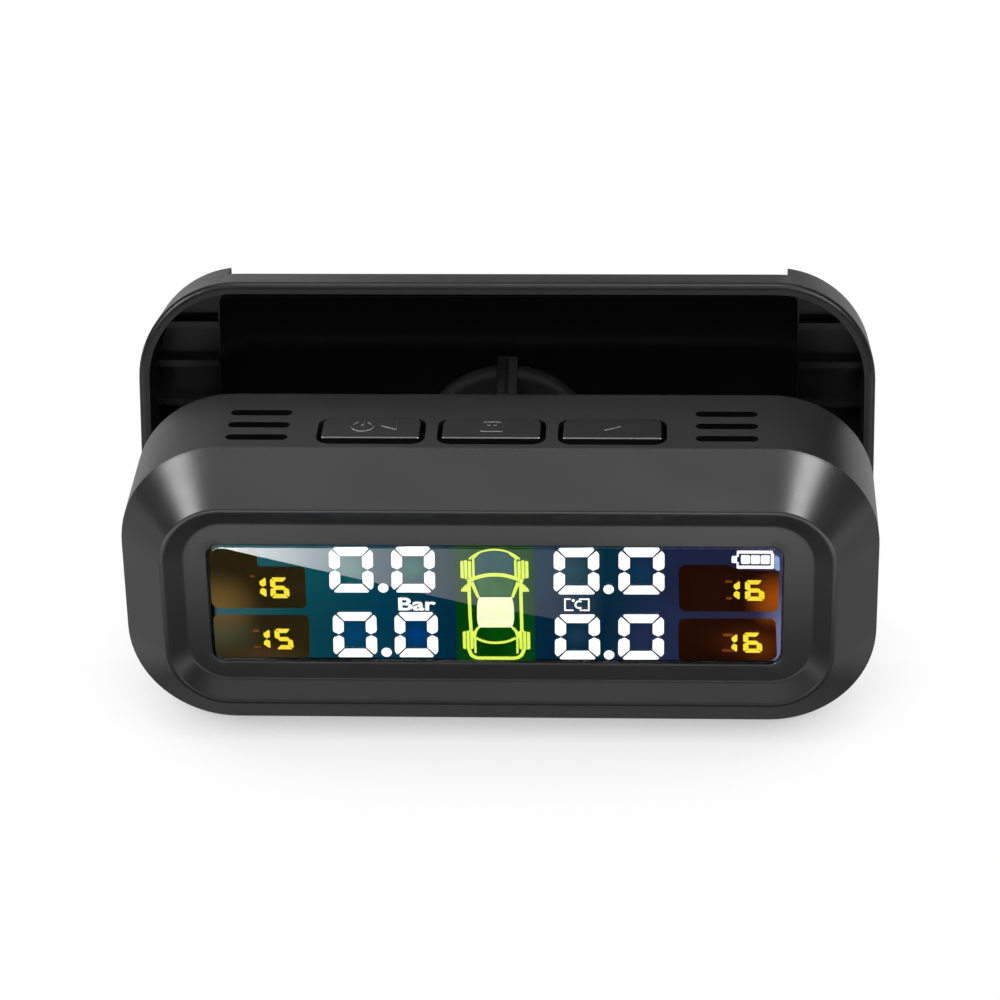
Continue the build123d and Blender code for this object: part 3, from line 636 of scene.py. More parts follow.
def backdrop(m):
    x = m.ranged(axis_of(m, "X"), -43.7 * MM, 42.7 * MM, 0.0, 1.0)
    upper = m.ramp(x, [
        (0.0, (0, 0, 0, 1)), (0.006, (0, 0, 0, 1)), (0.009, srgb(70, 92, 96)), (0.05, srgb(44, 92, 100)), (0.16, srgb(14, 80, 88)), (0.30, srgb(4, 62, 82)),
        (0.42, srgb(2, 50, 62)), (0.58, srgb(12, 50, 74)), (0.70, srgb(6, 46, 64)), (0.80, srgb(30, 38, 68)),
        (0.93, srgb(32, 34, 64)), (1.0, srgb(60, 60, 96))])
    lower = m.ramp(x, [
        (0.0, (0, 0, 0, 1)), (0.006, (0, 0, 0, 1)), (0.009, srgb(60, 96, 104)), (0.045, srgb(40, 90, 98)), (0.14, srgb(12, 68, 76)), (0.30, srgb(2, 58, 80)),
        (0.42, srgb(0, 44, 68)), (0.58, srgb(4, 38, 62)), (0.68, srgb(2, 38, 58)), (0.78, srgb(30, 44, 74)),
        (0.96, srgb(46, 44, 66)), (1.0, srgb(120, 120, 160))])
    z = m.ranged(axis_of(m, "Z"), (MZ - 6.0) * MM, (MZ + 5.0) * MM, 0.0, 1.0, smooth=True)
    col = m.mix(z, lower, upper)
    for bx, bz, rx, rz, c, k in (
            (-21.9, 5.6, 3.4, 3.4, srgb(38, 120, 104), 0.7), (-12.8, 5.6, 3.4, 3.4, srgb(38, 120, 104), 0.7),
            (-22.0, -6.0, 3.4, 3.2, srgb(0, 68, 118), 0.8), (-12.5, -6.0, 3.4, 3.2, srgb(0, 62, 128), 0.9),
            (11.8, 5.2, 3.4, 3.4, srgb(2, 76, 84), 0.6), (21.6, 5.2, 3.4, 3.4, srgb(8, 62, 96), 0.5),
            (12.0, -6.0, 3.4, 3.2, srgb(40, 70, 92), 0.5), (21.6, -6.0, 3.4, 3.2, srgb(44, 48, 84), 0.5)):
        col = m.mix(m.math("MULTIPLY", blob(m, bx, bz, rx, rz), k), col, c)
    col = m.mix(m.ranged(axis_of(m, "Z"), (MZ - 10.22) * MM, (MZ - 10.02) * MM, 1.0, 0.0), col, (0.0, 0.0, 0.0, 1.0))
    cells = m.noise(240.0, 2.0, 0.5)
    return m.mix(m.ranged(cells, 0.3, 0.7, 0.0, 0.10), col, (0.0, 0.0, 0.0, 1.0))


def green_zone(m):
    x = m.ranged(axis_of(m, "X"), -6.6 * MM, 5.6 * MM, 0.0, 1.0)
    col = m.ramp(x, [(0.0, srgb(6, 58, 22)), (0.14, srgb(0, 66, 8)), (0.5, srgb(0, 52, 4)),
                     (0.86, srgb(2, 72, 8)), (1.0, srgb(8, 62, 34))])
    col = m.mix(m.math("MULTIPLY", blob(m, -0.5, 3.0, 5.2, 7.5, 0.2), 0.55), col, srgb(38, 92, 60))
    return m.mix(m.ranged(m.noise(300.0), 0.3, 0.7, 0.0, 0.10), col, (0.0, 0.0, 0.0, 1.0))


def left_field(m):
    col = m.mix(m.ranged(m.noise(110.0, 2.0, 0.5), 0.3, 0.7, 0.0, 1.0), srgb(36, 30, 12), srgb(46, 38, 16))
    col = m.mix(m.math("MULTIPLY", blob(m, -42.5, -1.0, 7.5, 7.0), 0.8), col, srgb(116, 92, 48))
    col = m.mix(m.math("MULTIPLY", blob(m, -42.5, -6.0, 8.0, 5.0), 0.5), col, srgb(80, 86, 66))
    return m.mix(m.math("MULTIPLY", blob(m, -36.0, -9.5, 9.0, 2.0), 0.5), col, srgb(82, 62, 34))


def right_field(m):
    col = m.mix(m.ranged(m.noise(110.0, 2.0, 0.5), 0.3, 0.7, 0.0, 1.0), srgb(24, 8, 2), srgb(36, 14, 5))
    col = m.mix(m.math("MULTIPLY", blob(m, 42.0, 0.5, 5.5, 6.0), 0.95), col, srgb(160, 76, 14))
    col = m.mix(m.math("MULTIPLY", blob(m, 37.5, -6.8, 7.5, 4.5), 0.7), col, srgb(74, 32, 11))
    return m.mix(m.math("MULTIPLY", blob(m, 40.0, -8.0, 4.0, 4.0), 0.5), col, srgb(112, 52, 14))


def lit(c, c2, scale=500.0):
    def colour(m):
        return m.mix(m.ranged(m.noise(scale, 2.0), 0.3, 0.7, 0.0, 1.0), c, c2)
    return colour


SCR = {
    "back": screen_material("screen_backdrop", backdrop),
    "green": screen_material("screen_green_field", green_zone),
    "left": screen_material("screen_amber_field_left", left_field),
    "right": screen_material("screen_amber_field_right", right_field),
    "white": screen_material("screen_white", lit((1, 1, 1, 1), (0.93, 0.95, 1.0, 1)), 1.25),
    "car": screen_material("screen_yellow_green", lit(srgb(226, 255, 84), srgb(236, 255, 112))),
    "roof": screen_material("screen_pale_yellow", lit(srgb(255, 255, 196), srgb(250, 255, 214)), 1.05),
    "glass": screen_material("screen_dim_green", lit(srgb(58, 112, 66), srgb(46, 96, 52))),
    "bonnet": screen_material("screen_dim_teal", lit(srgb(34, 86, 88), srgb(26, 74, 78))),
    "rear": screen_material("screen_deep_green", lit(srgb(6, 74, 10), srgb(0, 62, 4))),
    "yellow": screen_material("screen_yellow", lit(srgb(255, 224, 40), srgb(255, 236, 80)), 1.05),
    "ghost": screen_material("screen_unlit_mark", lit(srgb(126, 66, 26), srgb(104, 52, 24))),
    # painted highlight: pale blue glow for the gleam at the screen's upper right corner
    "corner_gleam_paint": screen_material("screen_painted_gleam", lit(srgb(150, 176, 214), srgb(120, 150, 196))),
}


def screen_piece(name, polys, ys, key, nodes=()):
    ob = plates(name, polys, *ys)
    finish_piece(ob, SCR[key], "display", list(nodes))
    return ob


screen_piece("screen_backing_sheet", [rrect(86.8 - 0.4, 20.4 - 0.4, 1.8, 10, WX, WZ)], Y_BG, "back", ["lcd_polarizer"])
screen_piece("screen_green_field", [rrect(12.0, 19.9, 0.3, 4, -0.5, -0.42)], Y_FIELD, "green")


def soft_corners(pts, r, seg=5):
    """A closed outline with its corners rounded."""
    out = []
    n = len(pts)
    for i in range(n):
        ri = r[i] if isinstance(r, (list, tuple)) else r
        a, p, b = Vector(pts[i - 1]), Vector(pts[i]), Vector(pts[(i + 1) % n])
        tri = rounded_profile([(a.x, a.y, 0), (p.x, p.y, ri), (b.x, b.y, 0)], seg)
        out += tri[1:-1] if len(tri) > 2 else [(p.x, p.y)]
    return out


screen_piece("screen_amber_left", [
    soft_corners([(-43.6, 8.9), (-36.35, 9.0), (-36.3, 5.9), (-29.1, 5.9), (-29.2, -1.35), (-43.6, -1.45)],
                 [1.0, 0.3, 0.5, 0.7, 0.8, 1.2]),
    soft_corners([(-43.5, -2.6), (-28.85, -2.55), (-29.05, -10.1), (-43.5, -10.25)], [0.9, 0.9, 0.8, 1.4]),
], Y_FIELD, "left")
screen_piece("screen_amber_right", [
    soft_corners([(27.2, 6.55), (34.5, 6.6), (36.4, 5.7), (42.35, 5.6), (42.3, -1.5), (27.35, -1.5)],
                 [1.2, 0.8, 0.5, 0.4, 1.1, 1.1]),
    soft_corners([(27.25, -2.8), (41.9, -2.7), (42.3, -10.1), (27.3, -10.2)], [1.0, 1.0, 1.2, 0.8]),
], Y_FIELD, "right")


def quad_map(q):
    (tlx, tlz), (trx, trz), (blx, blz), (brx, brz) = q

    def f(u, v):
        ax, az = blx + (brx - blx) * u, blz + (brz - blz) * u
        bx, bz = tlx + (trx - tlx) * u, tlz + (trz - tlz) * u
        return (ax + (bx - ax) * v, az + (bz - az) * v)
    return f


def segments(q, which, su=0.272, sv=0.19, g=0.012):
    """Seven-segment strokes in a four-cornered cell: t, m, b, ul, ur, ll, lr."""
    f = quad_map(q)
    hi = 1 - sv
    top = [(0.135, 1.0), (0.865, 1.0), (0.905, 0.972), (1 - su + g, hi), (su - g, hi), (0.095, 0.972)]
    ul = [(0.058, 0.945), (su - 2 * g, hi - 2.2 * g), (su - 2 * g, 0.575), (su * 0.5, 0.513), (0.02, 0.56), (0.0, 0.60),
          (0.0, 0.87)]
    mid = [(0.14, 0.5), (su, 0.5 + sv / 2), (1 - su, 0.5 + sv / 2), (0.86, 0.5), (1 - su, 0.5 - sv / 2), (su, 0.5 - sv / 2)]
    shape = {
        "t": top, "b": [(u, 1 - v) for u, v in top], "m": mid, "ul": ul,
        "ur": [(1 - u, v) for u, v in ul], "ll": [(u, 1 - v) for u, v in ul], "lr": [(1 - u, 1 - v) for u, v in ul],
    }
    out = []
    for k in which:
        pts = [f(u, v) for u, v in shape[k]]
        area = sum(a[0] * b[1] - b[0] * a[1] for a, b in zip(pts, pts[1:] + pts[:1]))
        if area < 0:
            pts.reverse()
        out.append(soft_corners(pts, 0.16, 2))
    return out


def disc(x, z, r, n=28):
    return [(x + r * math.cos(2 * math.pi * i / n), z + r * math.sin(2 * math.pi * i / n)) for i in range(n)]


ZERO = ("t", "b", "ul", "ur", "ll", "lr")
big = []
for q in (
        [(-25.37, 9.29), (-18.73, 9.33), (-25.53, 1.43), (-18.85, 1.47)],
        [(-15.95, 9.34), (-9.42, 9.38), (-16.12, 1.49), (-9.5, 1.53)],
        [(-25.24, -2.02), (-18.57, -1.98), (-25.38, -9.99), (-18.68, -9.94)],
        [(-15.82, -1.96), (-9.25, -1.91), (-15.98, -9.92), (-9.35, -9.87)],
        [(8.50, 9.32), (15.3, 9.36), (8.39, 1.32), (15.32, 1.37)],
        [(18.22, 9.38), (25.1, 9.42), (18.18, 1.39), (25.12, 1.43)],
        [(8.56, -2.18), (15.33, -2.14), (8.47, -10.12), (15.38, -10.07)],
        [(18.18, -2.12), (25.05, -2.07), (18.1, -10.09), (25.07, -10.04)]):
    big += segments(q, ZERO)
SMALL = dict(su=0.29, sv=0.2, g=0.002)
for x, z in ((-17.37, 2.26), (-17.24, -9.07), (16.71, 2.25), (16.73, -9.28)):
    big.append(disc(x, z, 0.8))
screen_piece("screen_pressure_digits", big, Y_MARK, "white")


def one(x0, x1, z0, z1):
    xm, zm = (x0 + x1) / 2, (z0 + z1) / 2
    up = [(x0 + 0.12, zm + 0.42), (xm, zm + 0.1), (x1, zm + 0.36), (x1, z1 - 0.1), (x1 - 0.2, z1), (x0 + 0.05, z1 - 0.62)]
    dn = [(x0 + 0.12, zm - 0.42), (x0 + 0.05, z0 + 0.62), (x1 - 0.2, z0), (x1, z0 + 0.1), (x1, zm - 0.36), (xm, zm - 0.1)]
    out = []
    for pts in (up, dn):
        area = sum(a[0] * b[1] - b[0] * a[1] for a, b in zip(pts, pts[1:] + pts[:1]))
        out.append(pts if area > 0 else list(reversed(pts)))
    return out


SIX = ("t", "m", "b", "ul", "ll", "lr")
FIVE = ("t", "m", "b", "ul", "lr")
temps = []
temps += one(-36.2, -35.15, 0.65, 3.9) + segments([(-34.5, 4.0), (-31.8, 4.0), (-34.55, 0.4), (-31.6, 0.4)], SIX, **SMALL)
temps += one(-36.05, -35.0, -8.4, -5.25) + segments([(-34.3, -5.02), (-31.7, -5.02), (-34.2, -8.65), (-31.4, -8.65)], FIVE, **SMALL)
temps += one(35.45, 36.45, 0.66, 3.73) + segments([(37.2, 3.97), (39.95, 3.97), (37.25, 0.42), (40.25, 0.42)], SIX, **SMALL)
temps += one(35.25, 36.18, -8.54, -5.52) + segments([(37.05, -5.18), (39.75, -5.18), (37.1, -8.72), (40.05, -8.72)], SIX, **SMALL)
screen_piece("screen_temperature_digits", temps, Y_MARK, "yellow")


def rounded_bar(x0, x1, z, h):
    return soft_corners([(x0, z - h / 2), (x1, z - h / 2), (x1, z + h / 2), (x0, z + h / 2)], h * 0.4, 3)


screen_piece("screen_unlit_marks", [
    rounded_bar(34.0, 35.6, -5.62, 0.5), rounded_bar(33.9, 35.6, -8.35, 0.5), rounded_bar(34.2, 35.3, 3.72, 0.42),
    rounded_bar(34.4, 35.3, 0.82, 0.4), rounded_bar(-37.6, -36.6, -5.38, 0.42), rounded_bar(-37.5, -36.4, -8.25, 0.4),
    rounded_bar(-37.5, -36.8, 4.2, 0.35),
], Y_MARK, "ghost")


# car seen from above
def curve_through(pts, sub=6):
    """Catmull-Rom curve through the points."""
    if len(pts) < 3:
        return list(pts)
    out = []
    p = [pts[0]] + list(pts) + [pts[-1]]
    for i in range(1, len(p) - 2):
        for k in range(sub):
            t = k / sub
            out.append(tuple(
                0.5 * ((2 * p[i][c]) + (-p[i - 1][c] + p[i + 1][c]) * t
                       + (2 * p[i - 1][c] - 5 * p[i][c] + 4 * p[i + 1][c] - p[i + 2][c]) * t * t
                       + (-p[i - 1][c] + 3 * p[i][c] - 3 * p[i + 1][c] + p[i + 2][c]) * t ** 3) for c in (0, 1)))
    out.append(tuple(pts[-1]))
    return out


def ribbon(pts, width, end=None, sub=6):
    """A stroke of that width along a curve, tapering to end when that is given."""
    c = curve_through(pts, sub)
    left, right = [], []
    n = len(c)
    for i, p in enumerate(c):
        a, b = c[max(0, i - 1)], c[min(n - 1, i + 1)]
        d = Vector((b[0] - a[0], b[1] - a[1])).normalized()
        w = width / 2 if end is None else (width + (end - width) * i / (n - 1)) / 2
        left.append((p[0] - d.y * w, p[1] + d.x * w))
        right.append((p[0] + d.y * w, p[1] - d.x * w))
    poly = right + list(reversed(left))
    return poly


def wheel(x0, z1, x1, z0):
    """Three-ribbed tyre block."""
    w = (x1 - x0)
    h = (z1 - z0)
    return [soft_corners([(x0, z0 + h * 0.05), (x0 + w * 0.30, z0), (x0 + w * 0.30, z1), (x0, z1 - h * 0.05)], 0.12, 2),
            soft_corners([(x0 + w * 0.36, z0 - 0.05), (x0 + w * 0.64, z0 - 0.05), (x0 + w * 0.64, z1 + 0.05), (x0 + w * 0.36, z1 + 0.05)], 0.12, 2),
            soft_corners([(x0 + w * 0.70, z0), (x1, z0 + h * 0.05), (x1, z1 - h * 0.05), (x0 + w * 0.70, z1)], 0.12, 2)]


hood = [(-4.27, 7.35), (-3.46, 8.05), (-2.5, 8.6), (-1.52, 8.91), (-0.55, 9.03), (0.49, 8.96), (1.53, 8.67), (2.49, 8.14), (3.38, 7.4)]
cowl = [(-4.57, 3.47), (-3.58, 4.02), (-2.59, 4.38), (-1.47, 4.62), (-0.36, 4.69), (0.76, 4.62), (1.73, 4.4), (2.77, 4.03), (3.81, 3.52)]
rear = [(-3.47, -6.44), (-2.56, -6.91), (-1.58, -7.19), (-0.59, -7.26), (0.54, -7.17), (1.53, -6.91), (2.55, -6.4)]
car = [
    ribbon(hood, 0.3),
    ribbon([(-3.79, 7.23), (-3.47, 7.64), (-2.79, 8.37)], 0.26), ribbon([(2.92, 7.32), (2.59, 7.7), (1.8, 8.39)], 0.26),
    ribbon([(-3.65, 7.3), (-3.65, 5.65), (-3.64, 3.94)], 0.36), ribbon([(2.68, 7.3), (2.7, 5.69), (2.73, 3.9)], 0.36),
    ribbon(cowl, 0.62),
    ribbon([(-3.95, 3.4), (-3.5, 2.1), (-2.98, 0.67)], 0.62, 0.42), ribbon([(3.08, 3.4), (2.61, 2.1), (2.14, 0.7)], 0.62, 0.42),
    ribbon([(-2.98, -4.45), (-3.5, -5.2), (-3.78, -6.2)], 0.36, 0.55), ribbon([(2.0, -4.45), (2.6, -5.2), (2.93, -6.2)], 0.36, 0.55),
    ribbon([(-4.36, 3.31), (-4.37, 0.66), (-4.32, -2.17), (-4.22, -5.3)], 0.52), ribbon([(3.46, 3.36), (3.46, 0.71), (3.48, -2.12), (3.5, -5.3)], 0.52),
    ribbon(rear, 0.42),
    ribbon([(-3.62, -5.7), (-3.64, -7.2), (-3.62, -9.1)], 0.34), ribbon([(2.8, -5.65), (2.79, -7.19), (2.77, -9.1)], 0.34),
    ribbon([(-4.6, -8.4), (-4.5, -8.8), (-4.17, -9.55), (-3.33, -9.96), (-1.92, -9.98), (-0.5, -9.98), (1.19, -9.98), (2.47, -9.94), (3.29, -9.52), (3.65, -8.8), (3.75, -8.4)], 0.56),
    soft_corners([(-5.68, 1.75), (-4.6, 1.72), (-4.45, 3.1), (-4.93, 2.84), (-5.5, 2.2)], 0.12, 2),
    soft_corners([(4.76, 1.78), (3.72, 1.75), (3.6, 3.15), (3.98, 2.98), (4.55, 2.3)], 0.12, 2),
    soft_corners([(-4.4, -5.0), (-3.7, -5.3), (-3.8, -6.5), (-4.4, -6.4)], 0.1, 2),
    soft_corners([(3.5, -5.0), (2.9, -5.3), (2.95, -6.5), (3.5, -6.4)], 0.1, 2),
]
for box in ((-5.6, 7.13, -3.97, 3.97), (3.0, 7.16, 4.65, 4.02), (-5.52, -5.2, -3.89, -8.44), (3.08, -5.24, 4.75, -8.45)):
    car += wheel(*box)
for poly in car:
    area = sum(a[0] * b[1] - b[0] * a[1] for a, b in zip(poly, poly[1:] + poly[:1]))
    if area < 0:
        poly.reverse()
screen_piece("screen_car_outline", car, Y_MARK, "car")
roof = [(-2.93, 0.74), (2.06, 0.78), (2.24, 0.0), (2.36, -0.9), (2.36, -2.9), (2.24, -3.8), (1.98, -4.53), (-3.0, -4.56), (-3.2, -3.8), (-3.28, -2.9), (-3.24, -0.9), (-3.12, 0.0)]
screen_piece("screen_car_roof", [list(reversed(roof))], (-4.855, -4.83), "roof")
screen_piece("screen_car_windscreen", [list(reversed(
    [(-3.3, 3.75), (-2.2, 4.1), (-0.4, 4.3), (1.4, 4.1), (2.5, 3.75), (1.85, 1.05), (-2.75, 1.02)]))], (-4.84, -4.83), "glass")

screen_piece("screen_car_bonnet", [list(reversed(
    [(-3.4, 7.2), (-2.5, 8.3), (-1.4, 8.75), (-0.5, 8.85), (0.5, 8.78), (1.5, 8.45), (2.45, 7.3), (2.5, 4.1), (1.6, 4.5), (-0.4, 4.75), (-2.4, 4.5), (-3.4, 4.15)]))], (-4.84, -4.83), "bonnet")
screen_piece("screen_car_rear_glass", [list(reversed(
    [(-3.1, -4.7), (2.05, -4.68), (2.55, -6.1), (1.5, -6.75), (-0.5, -7.0), (-2.5, -6.75), (-3.45, -6.15)]))], (-4.84, -4.83), "rear")

# charge level, unit box and unit label
white = []


def frame_polys(x0, z0, x1, z1, t):
    """Four bars round a box."""
    return [[(x0, z0), (x1, z0), (x1, z0 + t), (x0, z0 + t)], [(x0, z1 - t), (x1, z1 - t), (x1, z1), (x0, z1)],
            [(x0, z0 + t), (x0 + t, z0 + t), (x0 + t, z1 - t), (x0, z1 - t)],
            [(x1 - t, z0 + t), (x1, z0 + t), (x1, z1 - t), (x1 - t, z1 - t)]]


white += [soft_corners([(35.9, 8.58), (41.3, 8.58), (41.3, 9.08), (35.9, 9.08)], 0.2, 2),
          soft_corners([(35.9, 5.98), (41.5, 5.98), (41.5, 6.5), (35.9, 6.5)], 0.2, 2),
          [(41.0, 6.5), (41.5, 6.5), (41.5, 8.6), (41.0, 8.6)],
          [(35.9, 6.5), (36.2, 6.5), (36.2, 7.1), (35.9, 7.1)], [(35.9, 8.0), (36.2, 8.0), (36.2, 8.6), (35.9, 8.6)],
          soft_corners([(35.15, 6.95), (35.95, 6.95), (35.95, 8.15), (35.15, 8.15)], 0.2, 2)]
for k in range(3):
    white.append(soft_corners([(36.55 + 1.47 * k, 6.8), (37.9 + 1.47 * k, 6.8), (37.9 + 1.47 * k, 8.3), (36.55 + 1.47 * k, 8.3)], 0.18, 2))
t = 0.24
white += [soft_corners([(9.98, -1.55), (11.4, -1.55), (11.4, -1.31), (10.22, -1.31), (10.22, 0.4), (11.0, 0.4), (11.0, 0.64), (9.98, 0.64)], 0.06, 1),
          soft_corners([(12.3, -1.55), (13.82, -1.55), (13.82, 0.64), (12.2, 0.64), (12.2, 0.4), (13.58, 0.4), (13.58, -1.31), (12.3, -1.31)], 0.06, 1),
          disc(11.35, 0.28, 0.24, 12)]
arc = []
for k in range(9):
    a = math.radians(60 + 240 * k / 8)
    arc.append((12.28 + 0.62 * math.cos(a), -0.45 + 0.62 * math.sin(a)))
white.append(ribbon(arc, 0.3, sub=1))
for poly in white:
    area = sum(a[0] * b[1] - b[0] * a[1] for a, b in zip(poly, poly[1:] + poly[:1]))
    if area < 0:
        poly.reverse()
screen_piece("screen_status_marks", white, Y_MARK, "white")
# painted highlight: a pale blue glowing patch at the screen's upper right corner stands in for a gleam on the glass
screen_piece("screen_corner_painted_gleam", [soft_corners([(41.55, 8.5), (42.3, 7.9), (42.4, 5.4), (41.6, 6.0)], 0.3, 3)], (-4.85, -4.83), "corner_gleam_paint")

# unit label from the built-in typeface, thickened and fitted to its cell
txt = bpy.data.curves.new("unit_label_text", "FONT")
txt.body = "Bar"
txt.size = 3.0 * MM
txt.offset = 0.075 * MM
txt.extrude = 0.015 * MM
tob = bpy.data.objects.new("unit_label_text", txt)
bpy.context.scene.collection.objects.link(tob)
bpy.context.view_layer.update()
mesh = bpy.data.meshes.new_from_object(tob.evaluated_get(bpy.context.evaluated_depsgraph_get()))
bpy.data.objects.remove(tob)
xs = [v.co.x for v in mesh.vertices]
ys = [v.co.y for v in mesh.vertices]
for v in mesh.vertices:
    u = (v.co.x - min(xs)) / (max(xs) - min(xs))
    w = (v.co.y - min(ys)) / (max(ys) - min(ys))
    v.co = dp(-15.18 + 5.7 * u, -4.845 - v.co.z / MM, -1.66 + 2.26 * w)
bml = bmesh.new()
bml.from_mesh(mesh)
bmesh.ops.remove_doubles(bml, verts=bml.verts, dist=1e-7)
bmesh.ops.recalc_face_normals(bml, faces=bml.faces)
label = to_object("screen_unit_label", bml, smooth=20.0, weighted=False)
finish_piece(label, SCR["white"], "display", [])

# ------------------------------------------------------------------ small hardware, reworked with rounded edges
for node, name, width, key, body, slot_name in (
        ("tilt_bolt", "hinge_bolt", 0.15, "black_steel", "display", "black_steel"),
        ("tilt_nut", "hinge_nut", 0.22, "black_steel", "display", "black_steel"),
        ("case_screws", "case_screw_set", 0.14, "black_steel", "display", "black_steel"),
        ("clevis_screws", "clevis_screw_set", 0.1, "black_steel", "display", "black_steel"),
        ("adhesive_pad_left", "stick_pad_left", 0.2, "adhesive", "bracket", "adhesive_tape"),
        ("adhesive_pad_right", "stick_pad_right", 0.2, "adhesive", "bracket", "adhesive_tape"),
        ("usb_socket", "socket_shell", 0.06, "can", "display", "bright_can")):
    ob = reworked(node, name, width, 2, 35.0)
    finish_piece(ob, K[key], body, [node])

# ------------------------------------------------------------------ CAD nodes that stay, with real finishes
STAY = {
    "lens_tape": "tape", "lcd_frame": "white_plastic", "lcd_front_glass": "glass", "lcd_rear_glass": "glass",
    "diffuser_sheet": "white_film", "light_guide": "acrylic", "reflector_sheet": "white_film",
    "backlight_leds": "led", "lcd_flex": "flex", "main_pcb": "board", "controller_chip": "chip",
    "radio_chip": "chip", "crystal": "can", "charger_chip": "chip", "antenna_coil": "copper",
    "battery_cell": "wrap", "battery_foam": "foam", "buzzer": "chip", "vibration_sensor": "can",
    "pcb_screws": "bright_steel", "lock_washer": "bright_steel", "friction_washers": "washer",
    "switch_left": "chip", "switch_centre": "chip", "switch_right": "chip",
    "plunger_left": "white_plastic", "plunger_centre": "white_plastic", "plunger_right": "white_plastic",
    "vent_felt_left": "felt", "vent_felt_right": "felt", "hub_screws": "black_steel",
    "solar_backing": "board", "solar_cells": "solar", "solar_cover": "resin",
}
for node, key in STAY.items():
    ob = NODES[node]
    ob.data.materials.clear()
    ob.data.materials.append(K[key])
    for p in ob.data.polygons:
        p.material_index = 0

# ------------------------------------------------------------------ floor, with a painted shadow and painted shade in its glow
fm = Mat("floor_with_painted_shadow")
# painted shadow: what the camera sees of the floor is an even glow darkened by ambient occlusion near the case, not a
# shadow cast by the lamps
shadow_ao = fm.n("ShaderNodeAmbientOcclusion", samples=16)
shadow_ao.inputs["Distance"].default_value = 0.4
painted_floor_shade = fm.ramp(shadow_ao.outputs["AO"], [
    (0.0, (0.30, 0.30, 0.30, 1)), (0.20, (0.62, 0.62, 0.62, 1)), (0.38, (0.78, 0.78, 0.78, 1)),
    (0.55, (0.885, 0.885, 0.885, 1)), (0.66, (0.97, 0.97, 0.97, 1)), (0.76, (1.0, 1.0, 1.0, 1))])
ray = fm.n("ShaderNodeLightPath")
# painted shade and light for reflected and bounced rays: the floor's glow is dimmed close to the case and raised well
# in front of it, behind it and to the sides
ahead = fm.ranged(axis_of(fm, "Y"), -0.125, -0.045, 2.7, 0.15, smooth=True)
behind = fm.ranged(axis_of(fm, "Y"), 0.03, 0.09, 0.0, 0.22, smooth=True)
aside = fm.ranged(fm.math("ABSOLUTE", axis_of(fm, "X")), 0.050, 0.076, 0.0, 0.64, smooth=True)
painted_bounce_glow = fm.math("MAXIMUM", fm.math("MAXIMUM", ahead, behind), aside)
paper = fm.ranged(fm.noise(3.0), 0.3, 0.7, 0.0, 1.0)
fm.set(base=(0.0, 0.0, 0.0, 1), rough=0.9, spec=0.0,
       emit=fm.mix(ray.outputs["Is Camera Ray"], painted_bounce_glow, fm.mix(paper, painted_floor_shade, fm.mix(0.01, painted_floor_shade, (1, 1, 1, 1)))),
       power=1.0)
bm = bmesh.new()
S = 8.0
for x, y in ((-S, -S), (S, -S), (S, S), (-S, S)):
    bm.verts.new((x, y, -0.0002))
bm.faces.new(bm.verts)
bmesh.ops.subdivide_edges(bm, edges=bm.edges, cuts=6, use_grid_fill=True)
floor = to_object("floor", bm, weighted=False)
floor.data.materials.append(fm.mat)
no_lens = bpy.data.collections.new("floor_receivers")
for ob in (lens, panel):
    no_lens.objects.link(ob)
for link in no_lens.collection_objects:
    link.light_linking.link_state = "EXCLUDE"
floor.light_linking.receiver_collection = no_lens

# ------------------------------------------------------------------ camera
el, yaw, roll = math.radians(30.0), math.radians(3.085), math.radians(-1.219)
back = Vector((math.sin(yaw) * math.cos(el), -math.cos(yaw) * math.cos(el), math.sin(el)))
fwd = -back
right = fwd.cross(Vector((0, 0, 1))).normalized()
up = right.cross(fwd)
r2 = right * math.cos(roll) + up * math.sin(roll)
u2 = -right * math.sin(roll) + up * math.cos(roll)
F = 3606.3
aim = (fwd + u2 * (85.4 / F) + r2 * (0.365 / F)).normalized()
xa = (r2 - aim * r2.dot(aim)).normalized()
ya = (-aim).cross(xa)
cam_data = bpy.data.cameras.new("camera")
cam_data.lens = F / 1000.0 * 36.0
cam_data.sensor_width = 36.0
cam_data.clip_start = 0.01
cam_data.clip_end = 30.0
cam = bpy.data.objects.new("camera", cam_data)
bpy.context.scene.collection.objects.link(cam)
eye = dp(0, 0, 0) + back * 0.5501
cam.matrix_world = Matrix((
    (xa.x, ya.x, -aim.x, eye.x), (xa.y, ya.y, -aim.y, eye.y), (xa.z, ya.z, -aim.z, eye.z), (0, 0, 0, 1)))
bpy.context.scene.camera = cam

# ------------------------------------------------------------------ light
world = bpy.data.worlds.new("studio")
bpy.context.scene.world = world
world.use_nodes = True
nt = world.node_tree
nt.nodes.clear()
wo = nt.nodes.new("ShaderNodeOutputWorld")
wb = nt.nodes.new("ShaderNodeBackground")
nt.links.new(wb.outputs[0], wo.inputs[0])
wt = nt.nodes.new("ShaderNodeTexCoord")


def wmath(op, a, b=None):
    node = nt.nodes.new("ShaderNodeMath")
    node.operation = op
    for i, v in ((0, a), (1, b)):
        if v is None:
            continue
        if isinstance(v, (int, float)):
            node.inputs[i].default_value = v
        else:
            nt.links.new(v, node.inputs[i])
    return node.outputs[0]


def wlobe(az, elv, outer, inner, level):
    """A soft patch of sky towards that azimuth and elevation."""
    a, e = math.radians(az), math.radians(elv)
    d = nt.nodes.new("ShaderNodeVectorMath")
    d.operation = "DOT_PRODUCT"
    nt.links.new(wt.outputs["Generated"], d.inputs[0])
    d.inputs[1].default_value = (math.sin(a) * math.cos(e), -math.cos(a) * math.cos(e), math.sin(e))
    r = nt.nodes.new("ShaderNodeMapRange")
    r.interpolation_type = "SMOOTHSTEP"
    nt.links.new(d.outputs["Value"], r.inputs[0])
    r.inputs[1].default_value = math.cos(math.radians(outer))
    r.inputs[2].default_value = math.cos(math.radians(inner))
    r.inputs[3].default_value = 0.0
    r.inputs[4].default_value = level
    return r.outputs[0]


